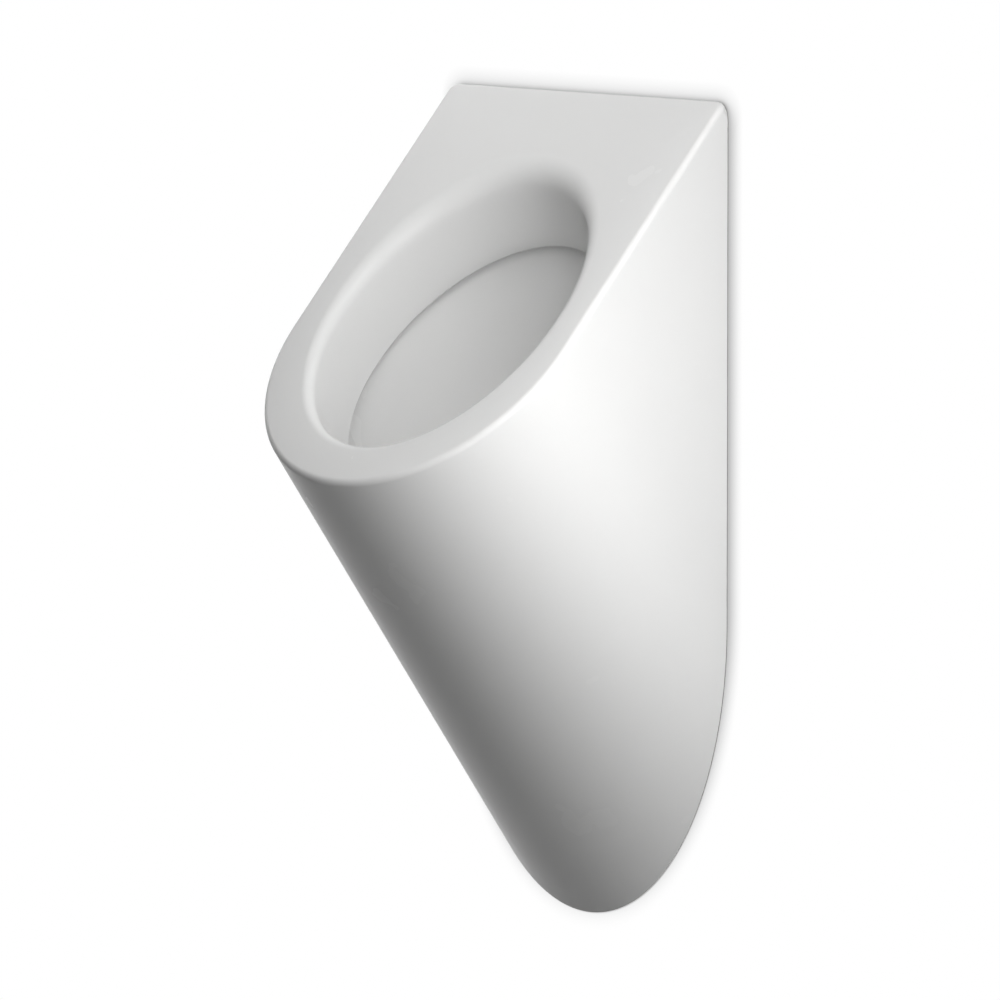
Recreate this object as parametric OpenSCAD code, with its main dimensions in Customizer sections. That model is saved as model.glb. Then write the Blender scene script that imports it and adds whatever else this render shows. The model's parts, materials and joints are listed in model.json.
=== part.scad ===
// Wall hung urinal with a hidden rear inlet, a hidden bottle trap and two hook brackets.
// The wall is the plane y = 0, the front points to -Y, up is +Z and lengths are in millimetres.
// Heights in the values below are measured from the lowest point of the ceramic.
// The model is set down with its origin on the wall, at the middle of the four wall screws.

/* [Ceramic body] */
// Width across the straight sides
body_w = 310; // [296:1:330]
// Height of the line where the rim plane would meet the wall
body_h = 684; // [670:1:700]
// Depth from the wall to the front lip
body_d = 300; // [292:1:312]
// Height of the front lip, where the rim plane and the front wall would meet
front_h = 380; // [372:1:388]
// Blunting of the sharp top edge, measured square to the body axis
top_blunt = 4; // [3.5:0.5:6]
// Radius of the two upper corners
corner_r = 10; // [8:1:14]
// Radius of the outer edge of the rim
rim_edge_r = 5; // [3:0.5:6]
// Radius of the edge that meets the wall
wall_edge_r = 1.6; // [1:0.2:2]
// Thickness of the outer shell
shell_t = 11; // [9:0.5:12]
// Width of the flat band that lies on the wall
flange_w = 17; // [14:0.5:20]
// Depth of that band before it thins to the shell
flange_t = 14; // [10:1:18]
// Thickness of the ceramic under the rim plane
rim_t = 12; // [10:0.5:13]
// Thickness of the back panel that carries the hooks
panel_t = 12; // [11:0.5:13]
// Height of the strip of panel under the hook windows
panel_sill = 9; // [7:0.5:12]

/* [Bowl] */
// Width of the rim beside the mouth
rim_side = 25; // [22:0.5:28]
// Width of the rim between the wall and the mouth
rim_back = 76; // [73:0.5:80]
// Width of the rim in front of the mouth
rim_front = 34; // [31:0.5:38]
// Radius of the rounded edge of the mouth at its front
mouth_edge_r = 8; // [6:0.5:11]
// Further radius that the edge gains towards the back, where it becomes a wide roll
mouth_roll = 16; // [10:1:18]
// Distance that the throat draws in at each side, from the mouth down to its lip
throat_side = 13; // [10:0.5:16]
// Distance that the throat draws in at the front
throat_front = 3; // [2:0.5:5]
// Distance from the wall to the throat's lip at the back
lip_wall = 35; // [34:0.5:38]
// Depth of the lip under the rim plane
lip_depth = 65; // [60:1:68]
// Depth that the bowl is cut back under the lip
undercut = 10; // [8:1:11]
// Thickness of the bowl wall
bowl_t = 11; // [9:0.5:12]
// Thickness of the bowl floor at the drain
floor_t = 18; // [17:0.5:20]
// Distance from the wall to the back of the bowl
bowl_back = 20; // [19:0.5:22]

/* [Waste] */
// Distance from the wall to the axis of the waste and the trap
waste_y = 62; // [60:0.5:64]
// Radius of the hole in the ceramic for the waste
drain_hole_r = 23; // [22:0.5:24]
// Radius of the recess that the waste flange sits in
drain_seat_r = 31; // [30.5:0.5:32]
// Depth of that recess
drain_seat_d = 7; // [6.5:0.5:8]
// Radius of the waste flange
waste_flange_r = 29.5; // [28.5:0.5:30]
// Thickness of the waste flange
waste_flange_t = 5; // [4.5:0.5:5.5]
// Outer radius of the threaded waste tube
waste_tube_r = 20.95; // [20.5:0.05:21.2]
// Bore radius of the waste tube
waste_bore_r = 16.5; // [16.4:0.1:16.8]
// Length of the waste tube under its flange
waste_tube_l = 46; // [45:0.5:47]
// Bore radius of the waste's mouth, down to its shoulder
waste_mouth_r = 18.2; // [18:0.1:18.4]
// Depth of that shoulder under the flange top
waste_mouth_d = 9; // [8.5:0.5:9.5]
// Radius of the recess that the strainer sits in
strainer_seat_r = 24.3; // [24.2:0.1:24.6]
// Depth of that recess
strainer_seat_d = 2; // [1.8:0.1:2.4]
// Thickness of the gasket over the ceramic
top_gasket_t = 1.5; // [1:0.1:2]
// Thickness of the rubber washer under the ceramic
under_gasket_t = 3; // [2:0.5:4]
// Thickness of the slip washer
slip_washer_t = 1; // [0.8:0.1:1.5]
// Height of the backnut
backnut_h = 9; // [8:0.5:10]
// Radius of the backnut over its corners
backnut_r = 28; // [27:0.5:29]

/* [Strainer and dip tube] */
// Radius of the strainer plate
strainer_r = 24; // [23.6:0.1:24]
// Thickness of the strainer plate
strainer_t = 1.6; // [1.4:0.1:2]
// Rise of the strainer's dome
dome_h = 5; // [4:0.5:6]
// Radius of the foot of the dome
dome_r = 21; // [20:0.5:21.5]
// Height of the strainer's lifting knob
knob_h = 6; // [5:0.5:8]
// Radius of that knob
knob_r = 4.5; // [4:0.25:5]
// Radius of a strainer hole
strainer_hole_r = 1.7; // [1.4:0.1:1.9]
// Outer radius of the dip tube
dip_r = 16.2; // [16:0.1:16.3]
// Wall of the dip tube
dip_wall = 2.4; // [2.2:0.1:2.8]
// Depth of water over the lower end of the dip tube
water_seal = 52; // [50:0.5:56]
// Radius of the dip tube's collar
collar_r = 17.8; // [17.6:0.1:17.9]
// Height of the dip tube's collar
collar_h = 5.5; // [5:0.25:6]
// Thickness of an O-ring
oring_d = 2; // [1.8:0.1:2.2]

/* [Trap] */
// Gap between the trap's cup and the front shell
trap_gap = 8; // [6:0.5:12]
// Outer radius of the trap head
head_r = 29; // [28.5:0.25:29.5]
// Wall of the trap mouldings
trap_wall = 3; // [2.75:0.25:3.25]
// Height of the trap head's drum
head_h = 50; // [49:0.5:52]
// Height of the neck between the drum and the union collar
neck_h = 7; // [6.5:0.5:8]
// Outer radius of the neck
neck_r = 19.4; // [19:0.1:19.6]
// Radius of the union collar
union_collar_r = 23; // [22.5:0.5:23.5]
// Thickness of the union collar
union_collar_t = 3; // [2.5:0.5:3.5]
// Thickness of the union washer
union_washer_t = 2; // [1.5:0.5:3]
// Height of the union nut above the union collar's underside
union_nut_h = 16; // [14:0.5:18]
// Outer radius of the union nut
union_nut_r = 27; // [26:0.5:28]
// Thickness of the inner lip of a plastic nut
nut_lip_t = 3; // [2.5:0.25:3.5]
// Radius of a grip rib
rib_r = 1.6; // [1.2:0.1:2]
// Outer radius of the cup
cup_r = 27; // [26.5:0.25:27.5]
// Outer radius of the cup's screwed collar
cup_collar_r = 31; // [30.5:0.25:31.5]
// Height of the screwed part of that collar
cup_collar_h = 10; // [9:0.5:10]
// Thickness of the shoulder under it
cup_shoulder_t = 4; // [3:0.5:5]
// Thickness of the seal on that shoulder
cup_seal_t = 2; // [1.5:0.25:2.5]
// Length of the cup's straight wall under the shoulder
cup_l = 20; // [18:0.5:22]
// Height of the outlet's axis above the foot of the trap head
outlet_rise = 30; // [29.5:0.25:30.5]
// Outer radius of the outlet pipe
outlet_r = 16; // [15.8:0.1:16.2]
// Wall of the outlet pipe
outlet_wall = 1.8; // [1.6:0.1:2]
// Length of outlet pipe behind the wall plane
outlet_out = 45; // [30:1:60]
// Gap between the outlet nut and the stop bead on the pipe
bead_gap = 2; // [1:0.5:3]
// Width of that bead
bead_w = 2; // [1.5:0.25:2.5]
// Rise of that bead over the pipe
bead_rise = 1; // [0.75:0.25:1.5]
// Outer radius of the outlet branch on the trap head
branch_r = 19; // [18.8:0.1:19.2]
// Length of that branch that the outlet nut grips
branch_grip = 8; // [7:0.5:9]
// Depth that the pipe goes into the branch
pipe_grip = 9; // [8:0.5:10]
// Outer radius of the outlet nut
outlet_nut_r = 23.5; // [23:0.25:24]
// Gap between the trap head and the outlet nut
outlet_nut_gap = 4; // [3:0.5:5]
// Length of the outlet nut
outlet_nut_l = 17; // [16:0.5:18]
// Length of the tapered outlet seal
outlet_seal_l = 5; // [4:0.5:6]

/* [Inlet] */
// Height of the inlet's axis above the lip
inlet_rise = 19; // [18:0.5:21]
// Radius of the ceramic boss round the inlet
inlet_boss_r = 30; // [29:0.5:31]
// Height of the boss's flat foot above the lip
boss_foot = 4; // [3:0.5:5]
// Thickness of the boss in front of the inlet's bore
boss_end_t = 5; // [4:0.5:5.5]
// Radius of the pocket for the inlet fittings
inlet_pocket_r = 18; // [17.5:0.5:19]
// Depth of that pocket
inlet_pocket_d = 13; // [12:0.5:14]
// Radius of the blind bore that the spreader sits in
inlet_bore_r = 12; // [11.5:0.25:12.5]
// Width of the flush slot over the bowl, between the middles of its round ends
flush_w = 34; // [30:1:36]
// Width of that slot from front to back
flush_t = 5; // [4.5:0.25:5.5]
// Height of the slot above the lip
flush_h = 12; // [11:0.5:13]
// Thickness of the lip in front of the slot
flush_land = 7; // [6.5:0.5:8]
// Outer radius of the spreader's stem
stem_r = 8.8; // [8.6:0.1:8.9]
// Bore radius of that stem
stem_bore_r = 6.8; // [6.6:0.1:7]
// Distance from the wall to the rear end of the stem
stem_end = 6.5; // [6.2:0.1:7]
// Length of the rubber sleeve that the spreader's nut squeezes against the bore
sleeve_l = 5.8; // [5:0.2:6.4]
// Wall of the spreader's head
spray_head_t = 1.5; // [1.3:0.1:1.8]
// Radius of a spray hole
spray_r = 1.2; // [1:0.1:1.4]
// Height of the spreader's nut
spreader_nut_h = 5; // [4:0.5:5.5]
// Radius of that nut over its corners
spreader_nut_r = 15.5; // [15:0.25:16.5]
// Radius of the threaded end that screws into the wall fitting
nipple_r = 10.45; // [10.3:0.05:10.6]
// Length of that thread
nipple_l = 18; // [15:0.5:20]
// Depth of the relief behind the nipple's hexagon
relief_d = 0.6; // [0.4:0.1:1]
// Thickness of the nipple's hexagon
nipple_hex_t = 4; // [3.5:0.25:4.25]
// Radius of that hexagon over its corners
nipple_hex_r = 15; // [14.5:0.5:16]
// Outer radius of the nipple's spigot
spigot_r = 6.2; // [6:0.1:6.3]
// Bore radius of the nipple
nipple_bore_r = 4; // [3.5:0.25:4.25]
// Distance from the wall to the tip of the spigot
spigot_tip = 18; // [17:0.5:19]
// Thickness of the seal between the nipple and the wall
inlet_seal_t = 1.5; // [1.2:0.1:1.8]

/* [Hanger] */
// Distance from the side of the body to the middle of the bracket
hanger_side = 51; // [49:0.5:55]
// Gap between the tongue of the hook and the rim over it
hook_gap = 8; // [6:0.5:10]
// Distance between the two screws of a bracket
screw_pitch = 30; // [26:1:32]
// Width of a bracket
bracket_w = 40; // [36:1:42]
// Height of the hook's bearing face above the middle of the screws
hook_rise = 36; // [35:0.5:38]
// Length of the bracket below the middle of the screws
bracket_drop = 30; // [28:0.5:32]
// Thickness of the bracket steel
bracket_t = 3; // [2.5:0.25:3.25]
// Inner bend radius of the bracket
bend_r = 2; // [1.5:0.25:2.5]
// Height of the hook's upturned tongue
tongue_h = 11; // [9:0.5:12]
// Thickness of the plastic saddle between the hook and the ceramic
saddle_t = 2.4; // [2:0.2:2.8]
// Thickness of the saddle's front leg
saddle_leg_t = 3.9; // [3:0.1:4.5]
// Gap round a bracket in the back panel's window
window_gap = 5; // [4:0.5:6]
// Outside radius of a wall screw's thread
screw_r = 3; // [2.75:0.25:3.25]
// Radius of the plain shank under its head
shank_r = 2.7; // [2.4:0.1:2.7]
// Length of a wall screw behind the wall plane
screw_out = 45; // [35:1:60]
// Radius of a screw head
screw_head_r = 5.6; // [5.4:0.1:6]
// Height of a screw head
screw_head_h = 4; // [3:0.5:4.5]
// Radius of a screw washer
washer_r = 7; // [6.5:0.25:8]
// Thickness of a screw washer
washer_t = 1.2; // [1:0.1:1.6]
// Radius of a screw hole in the bracket
screw_hole_r = 3.4; // [3.3:0.1:3.6]

/* [Hidden] */
$fn = 64;

// Clearances, overruns and the smallest details
clear = 0.3;       // gap round a piece that is set in another
thread_gap = 0.05; // gap between a nut and its thread
over = 1;          // overrun of a cut past a face
recess = 0.5;      // distance of the back panel in front of the wall plane
bevel = 0.8;       // small bevel on nuts and pipe ends
slot_w = 1.2;      // width of a screw's drive slot
slot_d = 1.6;      // depth of that slot
rib_count = 12;    // grip ribs round a plastic nut
spray_count = 5;   // spray holes under the spreader's head
spray_turn = 20;   // degrees from one spray hole to the next

// Shares of a length that shape the smaller curves
top_share = 0.8;                // part of the thin top edge that a loop may use
throat_shares = [0.96, 0.55, 0.25]; // steps up the throat from the lip to the roll
hollow_share = 0.55;            // step down the back of the throat from the roll to the lip
lip_shares = [[1, 1], [0.5, 0.55], [0.22, 0.45], [0, 0.2]]; // under the lip: outwards, downwards
oring_share = 0.6;              // place of the O-ring along the nipple's spigot
knob_shares = [0.4, 0.6];       // start and end of the knob's cone up its height
strainer_rows = [[0.42, 8], [0.63, 14], [0.84, 18]]; // share of the dome's radius, hole count

// Colours
china = [0.93, 0.93, 0.92];
chrome = [0.78, 0.79, 0.8];
zinc = [0.68, 0.7, 0.72];
rubber = [0.13, 0.13, 0.14];
white_plastic = [0.88, 0.88, 0.87];
grey_plastic = [0.55, 0.57, 0.58];
brass = [0.78, 0.64, 0.35];

// The body is a round-bottomed prism. Its axis runs from the lowest point at the wall to the front lip.
half_w = body_w / 2;
rim_drop = body_h - front_h;
rim_l = norm([body_d, rim_drop]);
axis_angle = atan(front_h / body_d);
rim_angle = atan(rim_drop / body_d);
square_share = sin(axis_angle + rim_angle);
section_h = body_h * cos(axis_angle) - top_blunt;

// Oval mouth in the rim plane and the lip under it, both measured down the rim plane from the wall
mouth_w = body_w - 2 * rim_side;
mouth_l = rim_l - rim_back - rim_front;
mouth_at = rim_back + mouth_l / 2;
lip_w = mouth_w - 2 * throat_side;
lip_back_at = (lip_wall + lip_depth * sin(rim_angle)) / cos(rim_angle);
lip_l = rim_l - rim_front - throat_front - lip_back_at;
lip_at = lip_back_at + lip_l / 2;
lip_back_z = body_h - lip_back_at * sin(rim_angle) - lip_depth * cos(rim_angle);

// The trap hangs just clear of the front shell. The waste and the bowl floor are stacked over it
cup_centre_z = (cup_r + trap_gap + shell_t + waste_y * sin(axis_angle)) / cos(axis_angle);
cup_shoulder_z = cup_centre_z + cup_l;
cup_seat_z = cup_shoulder_z + cup_shoulder_t;
head_end_z = cup_seat_z + cup_seal_t;
cup_rim_z = head_end_z + cup_collar_h;
head_top_z = head_end_z + head_h;
union_collar_z = head_top_z + neck_h;
waste_end_z = union_collar_z + union_collar_t + union_washer_t;
waste_under_z = waste_end_z + waste_tube_l;
waste_top_z = waste_under_z + waste_flange_t;
seat_z = waste_under_z - top_gasket_t;
floor_h = seat_z + drain_seat_d;
floor_under_z = floor_h - floor_t;
under_gasket_z = floor_under_z - under_gasket_t;
slip_washer_z = under_gasket_z - slip_washer_t;
backnut_z = slip_washer_z - backnut_h;
shoulder_z = waste_top_z - waste_mouth_d;
strainer_z = waste_top_z - strainer_seat_d;
outlet_z = head_end_z + outlet_rise;
dip_end_z = outlet_z - outlet_r + outlet_wall - water_seal;

// The inlet stands over the lip and the hooks hang under the rim
inlet_h = lip_back_z + inlet_rise;
hook_d = panel_t + saddle_leg_t + bracket_t + 2 * clear;
hanger_x = half_w - hanger_side;
hanger_h = body_h - hook_d * tan(rim_angle) - rim_t / cos(rim_angle) - hook_gap - tongue_h - hook_rise;
panel_h = hanger_h - bracket_drop - window_gap - panel_sill;

// Steps round the outline: the top edge, a corner, a side and the round bottom
top_steps = 8;
corner_steps = 4;
side_steps = 5;
round_steps = 40;

function mix(a, b, share) = a + (b - a) * share;
function arc(c, r, from, to, steps) = [
  for (i = [0:steps])
    let(turn = mix(from, to, i / steps))
    [c[0] + r * cos(turn), c[1] + r * sin(turn)]
];

// Closed outline of the section square to the axis, drawn in by inset, as [x, height in the section]
function outline(inset) =
  let(
    w = half_w - inset,
    top = section_h - inset,
    r = max(corner_r - inset, corner_r / 4),
    left_arc = arc([r - w, top - r], r, 180, 90, corner_steps)
  )
  concat(
    [for (i = [0:top_steps - 1]) [mix(r - w, w - r, i / top_steps), top]],
    arc([w - r, top - r], r, 90, 0, corner_steps),
    [for (i = [1:side_steps - 1]) [w, mix(top - r, half_w, i / side_steps)]],
    arc([0, half_w], w, 0, -180, round_steps),
    [for (i = [1:side_steps - 1]) [-w, mix(half_w, top - r, i / side_steps)]],
    [for (i = [0:corner_steps - 1]) left_arc[i]]
  );

// A point of the body from its place in the section and its distance along the axis
function on_axis(p, s) = [
  p[0],
  p[1] * sin(axis_angle) - s * cos(axis_angle),
  p[1] * cos(axis_angle) + s * sin(axis_angle)
];
function s_wall(q) = q * tan(axis_angle);
function s_rim(q) =
  (body_d * body_h + q * (rim_drop * sin(axis_angle) - body_d * cos(axis_angle)))
  / (rim_drop * cos(axis_angle) + body_d * sin(axis_angle));

// A loop under the rim plane and a loop in front of the wall, both measured along the axis
function rim_loop(inset, drop) = [
  for (p = outline(inset))
    on_axis(p, s_rim(p[1]) - min(drop, top_share * (s_rim(p[1]) - s_wall(p[1]))))
];
function wall_loop(inset, gap, keep) = [
  for (p = outline(inset))
    let(room = s_rim(p[1]) - s_wall(p[1]) - keep)
    on_axis(p, s_wall(p[1]) + min(gap, room * gap / (gap + flange_t)))
];

// A point in the rim plane's own frame: across, down the slope from the wall, and out of the plane
function on_rim(u, v, out) = [
  u,
  -v * cos(rim_angle) - out * sin(rim_angle),
  body_h - v * sin(rim_angle) + out * cos(rim_angle)
];

// Angle of each outline point round the middle of the mouth, so that loops of any shape line up
mouth_turns = [
  for (p = outline(0))
    let(v = (body_h * cos(axis_angle) - p[1]) / square_share - mouth_at)
    atan2(p[0] / mouth_w, v / mouth_l)
];
function oval_on_rim(w, l, at, depth) = [
  for (t = mouth_turns) on_rim(w / 2 * sin(t), at + l / 2 * cos(t), -depth)
];
// An oval through a front and a back point [y, z]
function oval_between(front, back, w) =
  let(c = (front + back) / 2, h = (front - back) / 2)
  [for (t = mouth_turns) [w / 2 * sin(t), c[0] + h[0] * cos(t), c[1] + h[1] * cos(t)]];

// Bowl under the lip. Each row gives shares: front inwards, front downwards, back downwards, narrowing
bowl_shares = [
  [0.03, 0.15, 0.08, 0.00],
  [0.11, 0.40, 0.23, 0.02],
  [0.20, 0.65, 0.42, 0.06],
  [0.32, 0.84, 0.61, 0.14],
  [0.46, 0.93, 0.77, 0.27],
  [0.62, 0.97, 0.89, 0.45],
  [0.80, 0.99, 0.96, 0.68],
  [1.00, 1.00, 1.00, 1.00]
];
drain_rim_r = drain_seat_r + 2 * over;
lip_front = on_rim(0, lip_at + lip_l / 2 + undercut, -lip_depth - undercut);
lip_back = on_rim(0, lip_at - lip_l / 2 - undercut, -lip_depth - undercut);
bowl_w = lip_w + 2 * undercut;
bowl_l = lip_l + 2 * undercut;
function bowl_front(row) = [
  mix(lip_front[1], -waste_y - drain_rim_r, row[0]),
  mix(lip_front[2], floor_h, row[1])
];
function bowl_rear(row) = [
  mix(-bowl_back, -waste_y + drain_rim_r, row[3]),
  mix(lip_back[2], floor_h, row[2])
];
function bowl_width(row) = mix(bowl_w, 2 * drain_rim_r, row[3]);
function bowl_loop(row) = oval_between(bowl_front(row), bowl_rear(row), bowl_width(row));
function bowl_outer_loop(row) =
  let(
    f = bowl_front(row),
    b = bowl_rear(row),
    grow = (f - b) / norm(f - b) * bowl_t,
    sink = [0, -floor_t * row[1] * row[1]]
  )
  oval_between(f + grow + sink, b - grow + sink, bowl_width(row) + 2 * bowl_t);

// Edge of the mouth, whose radius grows towards the back, and the throat from its end down to the lip
function edge_gain(t) = mouth_roll * pow((1 - cos(t)) / 2, 2);
function edge_point(t, inwards, down) = on_rim(
  (mouth_w / 2 - inwards) * sin(t),
  mouth_at + (mouth_l / 2 - inwards) * cos(t),
  -down
);
round_shares = [for (i = [0:6]) [1 - sin(90 * i / 6), 1 - cos(90 * i / 6)]];
function mouth_edge_loop(share) = [
  for (t = mouth_turns)
    let(r = mouth_edge_r + edge_gain(t))
    edge_point(t, r * (1 - share[0]), r * share[1])
];
function throat_loop(share, grow) =
  let(lip = oval_on_rim(lip_w + 2 * grow, lip_l + 2 * grow, lip_at, lip_depth))
  [
    for (k = [0:len(mouth_turns) - 1])
      let(t = mouth_turns[k], r = mouth_edge_r + edge_gain(t))
      mix(edge_point(t, r - grow, r), lip[k], share)
  ];
// Inside of the hollow round the mouth, under the rim
function roll_back_loop() = [
  for (t = mouth_turns) edge_point(t, (edge_gain(t) - bowl_t) / 2, rim_t / square_share)
];
function lip_loop(share) = oval_on_rim(
  lip_w + 2 * undercut * share[0],
  lip_l + 2 * undercut * share[0],
  lip_at,
  lip_depth + undercut * share[1]
);

ceramic_loops = [
  // inside of the bowl from the drain up, the sharp lip and the throat
  for (i = [len(bowl_shares) - 1:-1:0]) bowl_loop(bowl_shares[i]),
  for (share = lip_shares) lip_loop(share),
  for (share = throat_shares) throat_loop(share, 0),
  // rounded mouth
  for (i = [len(round_shares) - 1:-1:0]) mouth_edge_loop(round_shares[i]),
  // rim, its outer edge, the outside of the shell and the band on the wall
  for (share = round_shares) rim_loop(rim_edge_r * share[0], rim_edge_r * share[1]),
  wall_loop(0, wall_edge_r, 0),
  wall_loop(wall_edge_r, 0, 0),
  wall_loop(flange_w, 0, rim_t),
  // inside of the shell up to the rim
  wall_loop(flange_w, flange_t, rim_t),
  wall_loop(shell_t, flange_t + flange_w - shell_t, rim_t),
  rim_loop(shell_t, rim_t),
  // outside of the throat and the bowl, down to the underside of the floor
  roll_back_loop(),
  throat_loop(hollow_share, bowl_t),
  throat_loop(1, bowl_t),
  oval_on_rim(bowl_w + 2 * bowl_t, bowl_l + 2 * bowl_t, lip_at, lip_depth + undercut),
  for (row = bowl_shares) bowl_outer_loop(row)
];

// Closed skin over a chain of loops, with a flat fan at each end
function skin_points(loops, first, final) = concat([first], [for (l = loops) each l], [final]);
function skin_faces(rows, n) = concat(
  [for (k = [0:n - 1]) [0, 1 + k, 1 + (k + 1) % n]],
  [
    for (r = [0:rows - 2])
      for (k = [0:n - 1])
        let(a = 1 + r * n + k, b = 1 + r * n + (k + 1) % n)
        each [[a, a + n, b], [b, a + n, b + n]]
  ],
  [for (k = [0:n - 1]) [1 + rows * n, 1 + (rows - 1) * n + (k + 1) % n, 1 + (rows - 1) * n + k]]
);

// Depths of the outlet from the wall, and the seals of the dip tube
outlet_nut_front = waste_y - head_r - outlet_nut_gap;
outlet_nut_back = outlet_nut_front - outlet_nut_l;
branch_end = outlet_nut_front - branch_grip;
pipe_end = branch_end + pipe_grip;
bead_front = outlet_nut_back - bead_gap;
seal_out_y = branch_end - outlet_seal_l;
dip_bore_r = dip_r - dip_wall;
dip_oring_r = waste_bore_r - thread_gap - oring_d / 2;
dip_oring_zs = [waste_end_z + 3 * oring_d, shoulder_z - 3 * oring_d];
groove_r = oring_d / 2 + thread_gap;

// Depths of the inlet fittings from the wall
pocket_floor_y = recess + inlet_pocket_d;
flush_y = lip_wall - flush_land;
spray_head_back = pocket_floor_y + sleeve_l;
spray_head_front = flush_y - clear;
spray_head_r = inlet_bore_r - clear;
spray_y = spray_head_front - spray_head_t - spray_r - clear;
nipple_hex_y = inlet_seal_t + nipple_hex_t;
inlet_oring_y = mix(stem_end, spigot_tip, oring_share);
inlet_oring_r = stem_bore_r - thread_gap - oring_d / 2;

// Heights and depths of the hooks
hook_z = hanger_h + hook_rise;
web_z = hook_z + saddle_t;
bend_out_r = bend_r + bracket_t;
bracket_low_z = hanger_h - bracket_drop;
screw_zs = [hanger_h - screw_pitch / 2, hanger_h + screw_pitch / 2];
screw_head_y = bracket_t + washer_t;

// Round pieces about the waste's upright axis
module post(z0, z1, r) translate([0, -waste_y, z0]) cylinder(h = z1 - z0, r = r);
module cone(z0, z1, r0, r1) translate([0, -waste_y, z0]) cylinder(h = z1 - z0, r1 = r0, r2 = r1);
module ring(z0, z1, r_out, r_in) {
  difference() {
    post(z0, z1, r_out);
    post(z0 - over, z1 + over, r_in);
  }
}
module torus_z(z, r) {
  translate([0, -waste_y, z]) rotate_extrude() translate([r, 0]) circle(d = oring_d);
}
module ribs_z(z0, z1, r) {
  for (i = [0:rib_count - 1])
    translate([r * cos(360 * i / rib_count), -waste_y + r * sin(360 * i / rib_count), z0])
      cylinder(h = z1 - z0, r = rib_r);
}

// Round pieces along Y, from the larger distance to the wall back to the smaller one
module rod(x, z, front, back, r) {
  translate([x, -back, z]) rotate([90, 0, 0]) cylinder(h = front - back, r = r);
}
module tip(x, z, front, back, r_front, r_back) {
  translate([x, -back, z]) rotate([90, 0, 0]) cylinder(h = front - back, r1 = r_back, r2 = r_front);
}
module hexagon(z, front, back, r) {
  translate([0, -back, z]) rotate([90, 0, 0]) cylinder(h = front - back, r = r, $fn = 6);
}
module washer(x, z, front, back, r_out, r_in) {
  difference() {
    rod(x, z, front, back, r_out);
    rod(x, z, front + over, back - over, r_in);
  }
}
module torus_y(z, y, r) {
  translate([0, -y, z]) rotate([90, 0, 0]) rotate_extrude() translate([r, 0]) circle(d = oring_d);
}
module ribs_y(z, front, back, r) {
  for (i = [0:rib_count - 1])
    rod(r * cos(360 * i / rib_count), z + r * sin(360 * i / rib_count), front, back, rib_r);
}
module block(x0, x1, y0, y1, z0, z1) translate([x0, y0, z0]) cube([x1 - x0, y1 - y0, z1 - z0]);
// A [y, z] profile drawn out across the body
module across(x, w) {
  translate([x, 0, 0]) rotate([90, 0, 90]) linear_extrude(height = w, center = true) children();
}

// Glazed body: one skin, then the back panel, the inlet boss and all openings
module ceramic_skin() {
  polyhedron(
    points = skin_points(ceramic_loops, [0, -waste_y, floor_h], [0, -waste_y, floor_under_z]),
    faces = skin_faces(len(ceramic_loops), len(mouth_turns))
  );
}
module hanger_window(x) {
  w = bracket_w / 2 + window_gap;
  block(x - w, x + w, -panel_t - over, over, bracket_low_z - window_gap, web_z);
}
module inlet_boss() {
  front = flush_y + boss_end_t;
  intersection() {
    rod(0, inlet_h, front, recess, inlet_boss_r);
    block(-inlet_boss_r, inlet_boss_r, -front - over, 0, lip_back_z + boss_foot, inlet_h + inlet_boss_r);
  }
}
// Slot that lets the flush water down from the spreader through the underside of the lip
module flush_slot() {
  low = lip_back_z - 3 * over;
  high = lip_back_z + flush_h;
  block(-flush_w / 2, flush_w / 2, -flush_y, flush_t - flush_y, low, high);
  for (side = [-1, 1])
    translate([side * flush_w / 2, flush_t / 2 - flush_y, low]) cylinder(h = high - low, r = flush_t / 2);
}
module ceramic_body() {
  panel_w = half_w - shell_t;
  panel_top_z = (section_h - flange_w / 2) / cos(axis_angle);
  difference() {
    union() {
      ceramic_skin();
      block(-panel_w, panel_w, -panel_t, -recess, panel_h, panel_top_z);
      inlet_boss();
    }
    hanger_window(-hanger_x);
    hanger_window(hanger_x);
    post(seat_z, floor_h + over, drain_seat_r);
    post(floor_under_z - over, floor_h, drain_hole_r);
    rod(0, inlet_h, pocket_floor_y, -over, inlet_pocket_r);
    rod(0, inlet_h, flush_y, recess, inlet_bore_r);
    flush_slot();
  }
}

// Bent steel hook, its saddle and its screws
module hook_profile() {
  inner_y = -hook_d + bracket_t;
  polygon(concat(
    [[0, bracket_low_z]],
    arc([-bend_out_r, hook_z - bend_out_r], bend_out_r, 0, 90, 4),
    arc([inner_y + bend_r, hook_z + bend_r], bend_r, 270, 180, 4),
    [[inner_y, hook_z + tongue_h], [-hook_d, hook_z + tongue_h]],
    arc([-hook_d + bend_out_r, hook_z - bracket_t + bend_out_r], bend_out_r, 180, 270, 4),
    arc([-bracket_t - bend_r, hook_z - bracket_t - bend_r], bend_r, 90, 0, 4),
    [[-bracket_t, bracket_low_z]]
  ));
}
module hanger_bracket(x) {
  difference() {
    across(x, bracket_w) hook_profile();
    for (z = screw_zs) rod(x, z, bracket_t + over, -over, screw_hole_r);
  }
}
module saddle_profile() {
  leg_y = -hook_d + bracket_t + clear;
  polygon([
    [-over, hook_z], [-over, web_z], [-panel_t - clear, web_z], [-panel_t - clear, hook_z + tongue_h],
    [leg_y, hook_z + tongue_h], [leg_y, hook_z + bend_r], [leg_y + bend_r, hook_z]
  ]);
}
module hanger_saddles() {
  for (side = [-1, 1]) across(side * hanger_x, bracket_w) saddle_profile();
}
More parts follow.
